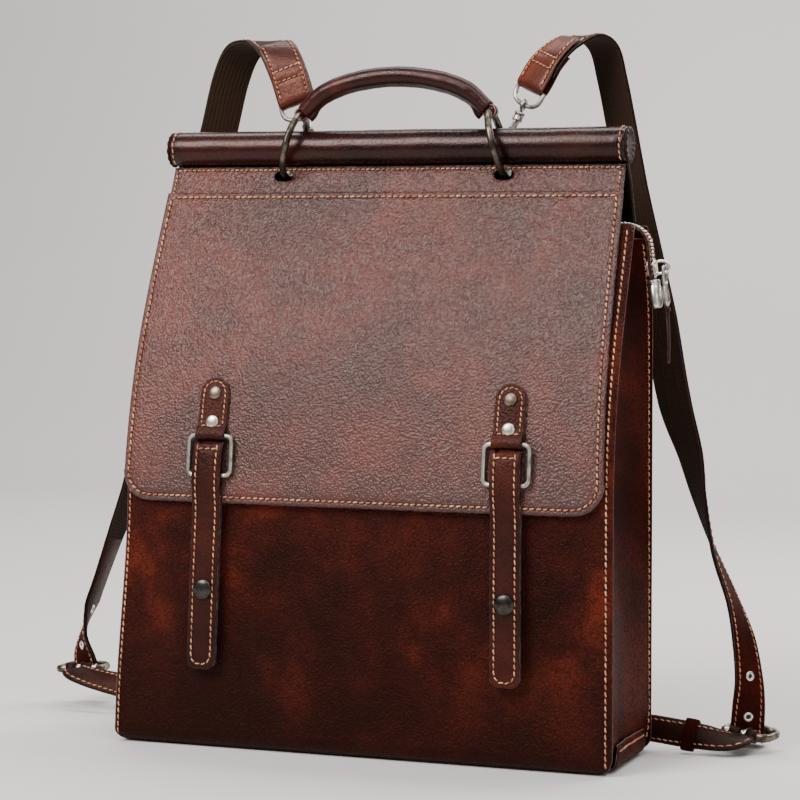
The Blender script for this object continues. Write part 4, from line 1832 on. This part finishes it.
# %% Slider
pile = Pile()
half_heart = [(3.4, -5.0), (4.6, -4.0), (5.2, -1.0), (5.2, 2.2), (4.4, 4.4), (2.6, 5.2)]
heart = [(-3.4, -5.0), *half_heart, *[(-a, b) for a, b in half_heart[:0:-1]]]
for height in (-1.95, 1.95):
    pile.add(*plate(heart, 1.3, SLIDER_CENTRE + ZIP_OUT * height, ACROSS_ZIP, ZIP_SLIDE, 0.35))
for edge in (-1, 1):
    wall_loop = rounded_box_loop(1.1, 8.4, 0.4, 3)
    pile.add(*plate(wall_loop, 3.2, SLIDER_CENTRE + ACROSS_ZIP * edge * 4.55, ZIP_OUT, ZIP_SLIDE, 0.2))
bridge = [(2.3, 3.6), (5.0, 4.2), (8.4, 3.6), (10.7, 1.4)]
bridge += [(10.9, -1.2), (8.6, -3.2), (5.2, -3.8), (2.3, -3.4)]
arch = [SLIDER_CENTRE + ZIP_OUT * out + ZIP_SLIDE * up for out, up in bridge]
line, sizes = round_ended(curve_through(arch, 6), 0.95)
pile.add(*tube(line, sizes, sides=16))
pile.piece("zip_runner", [BRIGHT], "zip_slider", ["zip_slider"], "nickel")

# %% Pull
bow = [(-5, -6), (-3.6, -9.6), (0, -11), (3.6, -9.6), (5, -6), (5, -1.2), (3.9, 0), (-3.9, 0), (-5, -1.2)]
bow = walk(curve_through([*bow, bow[0]], 5)[:-1], 0.9, closed=True)
path = [PULL_EYE + ACROSS_ZIP * a + np.array([0, 0, b]) for a, b in bow]
pile = Pile()
pile.add(*tube(path, 1.1, closed=True, sides=18))
neck = PULL_EYE + np.array([0, 0, -10.2])
drop = [(0, 0), (1.5, 0.1), (1.7, 0.9), (1.35, 1.5), (1.5, 2.2), (1.9, 4.5)]
drop += [(2.45, 10.6), (2.5, 11.8), (2.2, 13.0), (1.5, 14.2), (1.4, 15.0), (0, 15.4)]
pile.add(*lathe(drop, neck, (0.1, 0, -1), 36))
pile.piece("zip_drop", [NICKEL], "zip_pull", ["zip_pull"], "nickel")
thong_top = PULL_EYE + np.array([1.6, 0, -25.9])
thong_rows = [thong_top + np.array(step) for step in ((0, 0, 0), (0.8, 0.5, -10), (1, 2, -22), (0.6, 4, -36))]
thong_route = route_through(thong_rows, [(0.3, 1, 0)] * 4)
leather_strip("thong_leather", thong_route, 0.0, 1.0, lambda t: 1.9 - 0.5 * t, -0.7, 1.4, 1,
              [DARK_LEATHER, EDGE], "zip_pull", stands_for=["zip_thong"], slot="dark_leather", step=1.6)
turn_loop = [(1.3, -0.5), (1.3, 0.5), (2.1, 0.45), (2.35, 0), (2.1, -0.45)]
pile = Pile()
for k in range(3):
    at = thong_route(0.015 + 0.03 * k)[0]
    pile.add(*hollow_lathe(turn_loop, at, (0.15 * k - 0.15, 0.1, -1), 20))
pile.piece("thong_knot", [DARK_LEATHER], "zip_pull", [], "dark_leather")
print("zip made")

# %% [markdown]
# ## Lining
# A woven cotton lining runs down the front, across the floor and up the back. It is drawn as one
# thin sheet that follows the walls and puckers a little between its seams.

# %% Lining
down = [on_wall(FRONT, z, -PANEL - 0.5) for z in np.linspace(336, 14, 70)]
up = [on_wall(BACK, z, -PANEL - 0.5) for z in np.linspace(14, 338, 70)]
lining_line = np.array([*down, (-43, 5.3), *[(y, 5.3) for y in np.linspace(-36, 36, 12)], (43, 5.3), *up])
way = np.gradient(lining_line, axis=0)
way /= np.linalg.norm(way, axis=1, keepdims=True)
inward = np.stack([-way[:, 1], way[:, 0]], axis=-1)
inward *= np.where(((0.0, 170.0) - lining_line) @ np.array([1.0, 0.2]) * inward[:, 0] < 0, -1, 1)[:, None]
inward[np.abs(lining_line[:, 1] - 5.3) < 0.01] = (0, 1)
stations = np.linspace(-147.5, 147.5, 60)
count, across_count = len(lining_line), len(stations)
sheets = []
for thick in (0.1, 0.8):
    for x in stations:
        pucker = 0.5 + 0.5 * wander(np.full(count, x), lining_line[:, 1] + lining_line[:, 0], 60, 81)
        lift = thick + np.clip(pucker, 0, 2) * 0.55
        spot = lining_line + inward * lift[:, None]
        sheets.append([(x, y, z) for y, z in spot])
points = np.array(sheets).reshape(-1, 3)
cell = lambda sheet, i, k: (sheet * across_count + i) * count + k
faces = []
for i in range(across_count - 1):
    for k in range(count - 1):
        faces.append((cell(0, i, k), cell(0, i, k + 1), cell(0, i + 1, k + 1), cell(0, i + 1, k)))
        faces.append((cell(1, i, k), cell(1, i + 1, k), cell(1, i + 1, k + 1), cell(1, i, k + 1)))
    for k in (0, count - 1):
        faces.append((cell(0, i, k), cell(0, i + 1, k), cell(1, i + 1, k), cell(1, i, k)))
for i in (0, across_count - 1):
    faces += [(cell(0, i, k), cell(1, i, k), cell(1, i, k + 1), cell(0, i, k + 1)) for k in range(count - 1)]
make_piece("lining_cotton", points, faces, [LINING], "bag", ["lining"], "lining")
print("lining made")

# %% [markdown]
# ## What the frame already shows
# The stiffening board in the base and the wooden rod are seen only at their edges, so the
# frame's own solids stay, with finishes of their own.

# %% Board and rod
board = Finish("grey_board")
board_fibre = board.noise(board.coordinates(), 700.0, 4.0, 0.6)
board.paint(Base_Color=board.mixed(board_fibre, (0.10, 0.085, 0.07), (0.19, 0.165, 0.14)), Roughness=0.85,
            Normal=board.bump(board_fibre, 0.0002))
wood = Finish("rod_wood")
grain = {"Vector": wood.coordinates(), "Scale": 260.0, "Distortion": 5.0, "Detail": 3.0}
grain_lines = wood.node("ShaderNodeTexWave", {"bands_direction": "Y"}, grain)
wood.paint(Base_Color=wood.mixed(grain_lines, (0.20, 0.105, 0.05), (0.34, 0.20, 0.105)), Roughness=0.6,
           Normal=wood.bump(grain_lines, 0.0002))
for node, finish, finish_slot in (("base_board", board, "board"), ("rod_core", wood, "rod_wood")):
    solid = bpy.data.objects[node]
    solid.data.materials.clear()
    solid.data.materials.append(finish.material)
print("frame solids finished")

# %% Floor
pale = Finish("pale_floor")
soft_spots = pale.noise(pale.coordinates(), 3.0, 2.0)
pale.paint(Base_Color=pale.mixed(soft_spots, (0.60, 0.59, 0.575), (0.64, 0.63, 0.615)), Roughness=0.62)
FLOOR_REACH, SWEEP_START, SWEEP_RADIUS, WALL_TOP = 6.0, 1.9, 0.9, 4.5
floor_line = [(-FLOOR_REACH, -0.0004), (SWEEP_START, -0.0004)]
turns = np.radians(np.arange(6, 91, 6))
floor_line += [(SWEEP_START + SWEEP_RADIUS * math.sin(a), SWEEP_RADIUS * (1 - math.cos(a))) for a in turns]
floor_line += [(SWEEP_START + SWEEP_RADIUS, WALL_TOP)]
floor_points = [(x, y, z) for y, z in floor_line for x in (-FLOOR_REACH, FLOOR_REACH)]
floor_faces = [(2 * i, 2 * i + 1, 2 * i + 3, 2 * i + 2) for i in range(len(floor_line) - 1)]
floor_mesh = bpy.data.meshes.new("floor")
floor_mesh.from_pydata(floor_points, [], floor_faces)
floor_mesh.polygons.foreach_set("use_smooth", [True] * len(floor_mesh.polygons))
floor_mesh.materials.append(pale.material)
floor = bpy.data.objects.new("floor", floor_mesh)
bpy.context.scene.collection.objects.link(floor)


# %% Lights
def softbox(name, place, target, width, height, power, colour=(1.0, 1.0, 1.0)):
    data = bpy.data.lights.new(name, "AREA")
    data.shape = "RECTANGLE"
    data.size, data.size_y = width, height
    data.energy = power
    data.color = colour
    lamp = bpy.data.objects.new(name, data)
    lamp.location = place
    lamp.rotation_mode = "QUATERNION"
    lamp.rotation_quaternion = (Vector(target) - Vector(place)).to_track_quat("-Z", "Y")
    bpy.context.scene.collection.objects.link(lamp)


softbox("key", (-0.75, -1.35, 1.35), (0.0, 0.0, 0.24), 1.0, 0.8, 46, (1.0, 0.96, 0.93))
softbox("strip", (0.15, -0.55, 1.25), (0.0, 0.0, 0.36), 1.5, 0.22, 12, (1.0, 0.98, 0.96))
softbox("fill", (1.5, -1.5, 0.7), (0.0, 0.0, 0.2), 0.9, 1.1, 9, (1.0, 0.93, 0.88))
softbox("rim", (0.8, 1.2, 1.1), (0.0, 0.0, 0.3), 0.8, 0.8, 14, (1.0, 0.97, 0.94))
softbox("backdrop", (0.0, 0.9, 2.6), (0.0, 2.4, 0.5), 3.2, 1.2, 110, (1.0, 0.99, 0.98))
world = bpy.data.worlds.new("studio")
bpy.context.scene.world = world
world.use_nodes = True
world.node_tree.nodes["Background"].inputs["Color"].default_value = (0.95, 0.97, 1.0, 1)
world.node_tree.nodes["Background"].inputs["Strength"].default_value = 0.24
print("lights set,", piece_count, "pieces made")
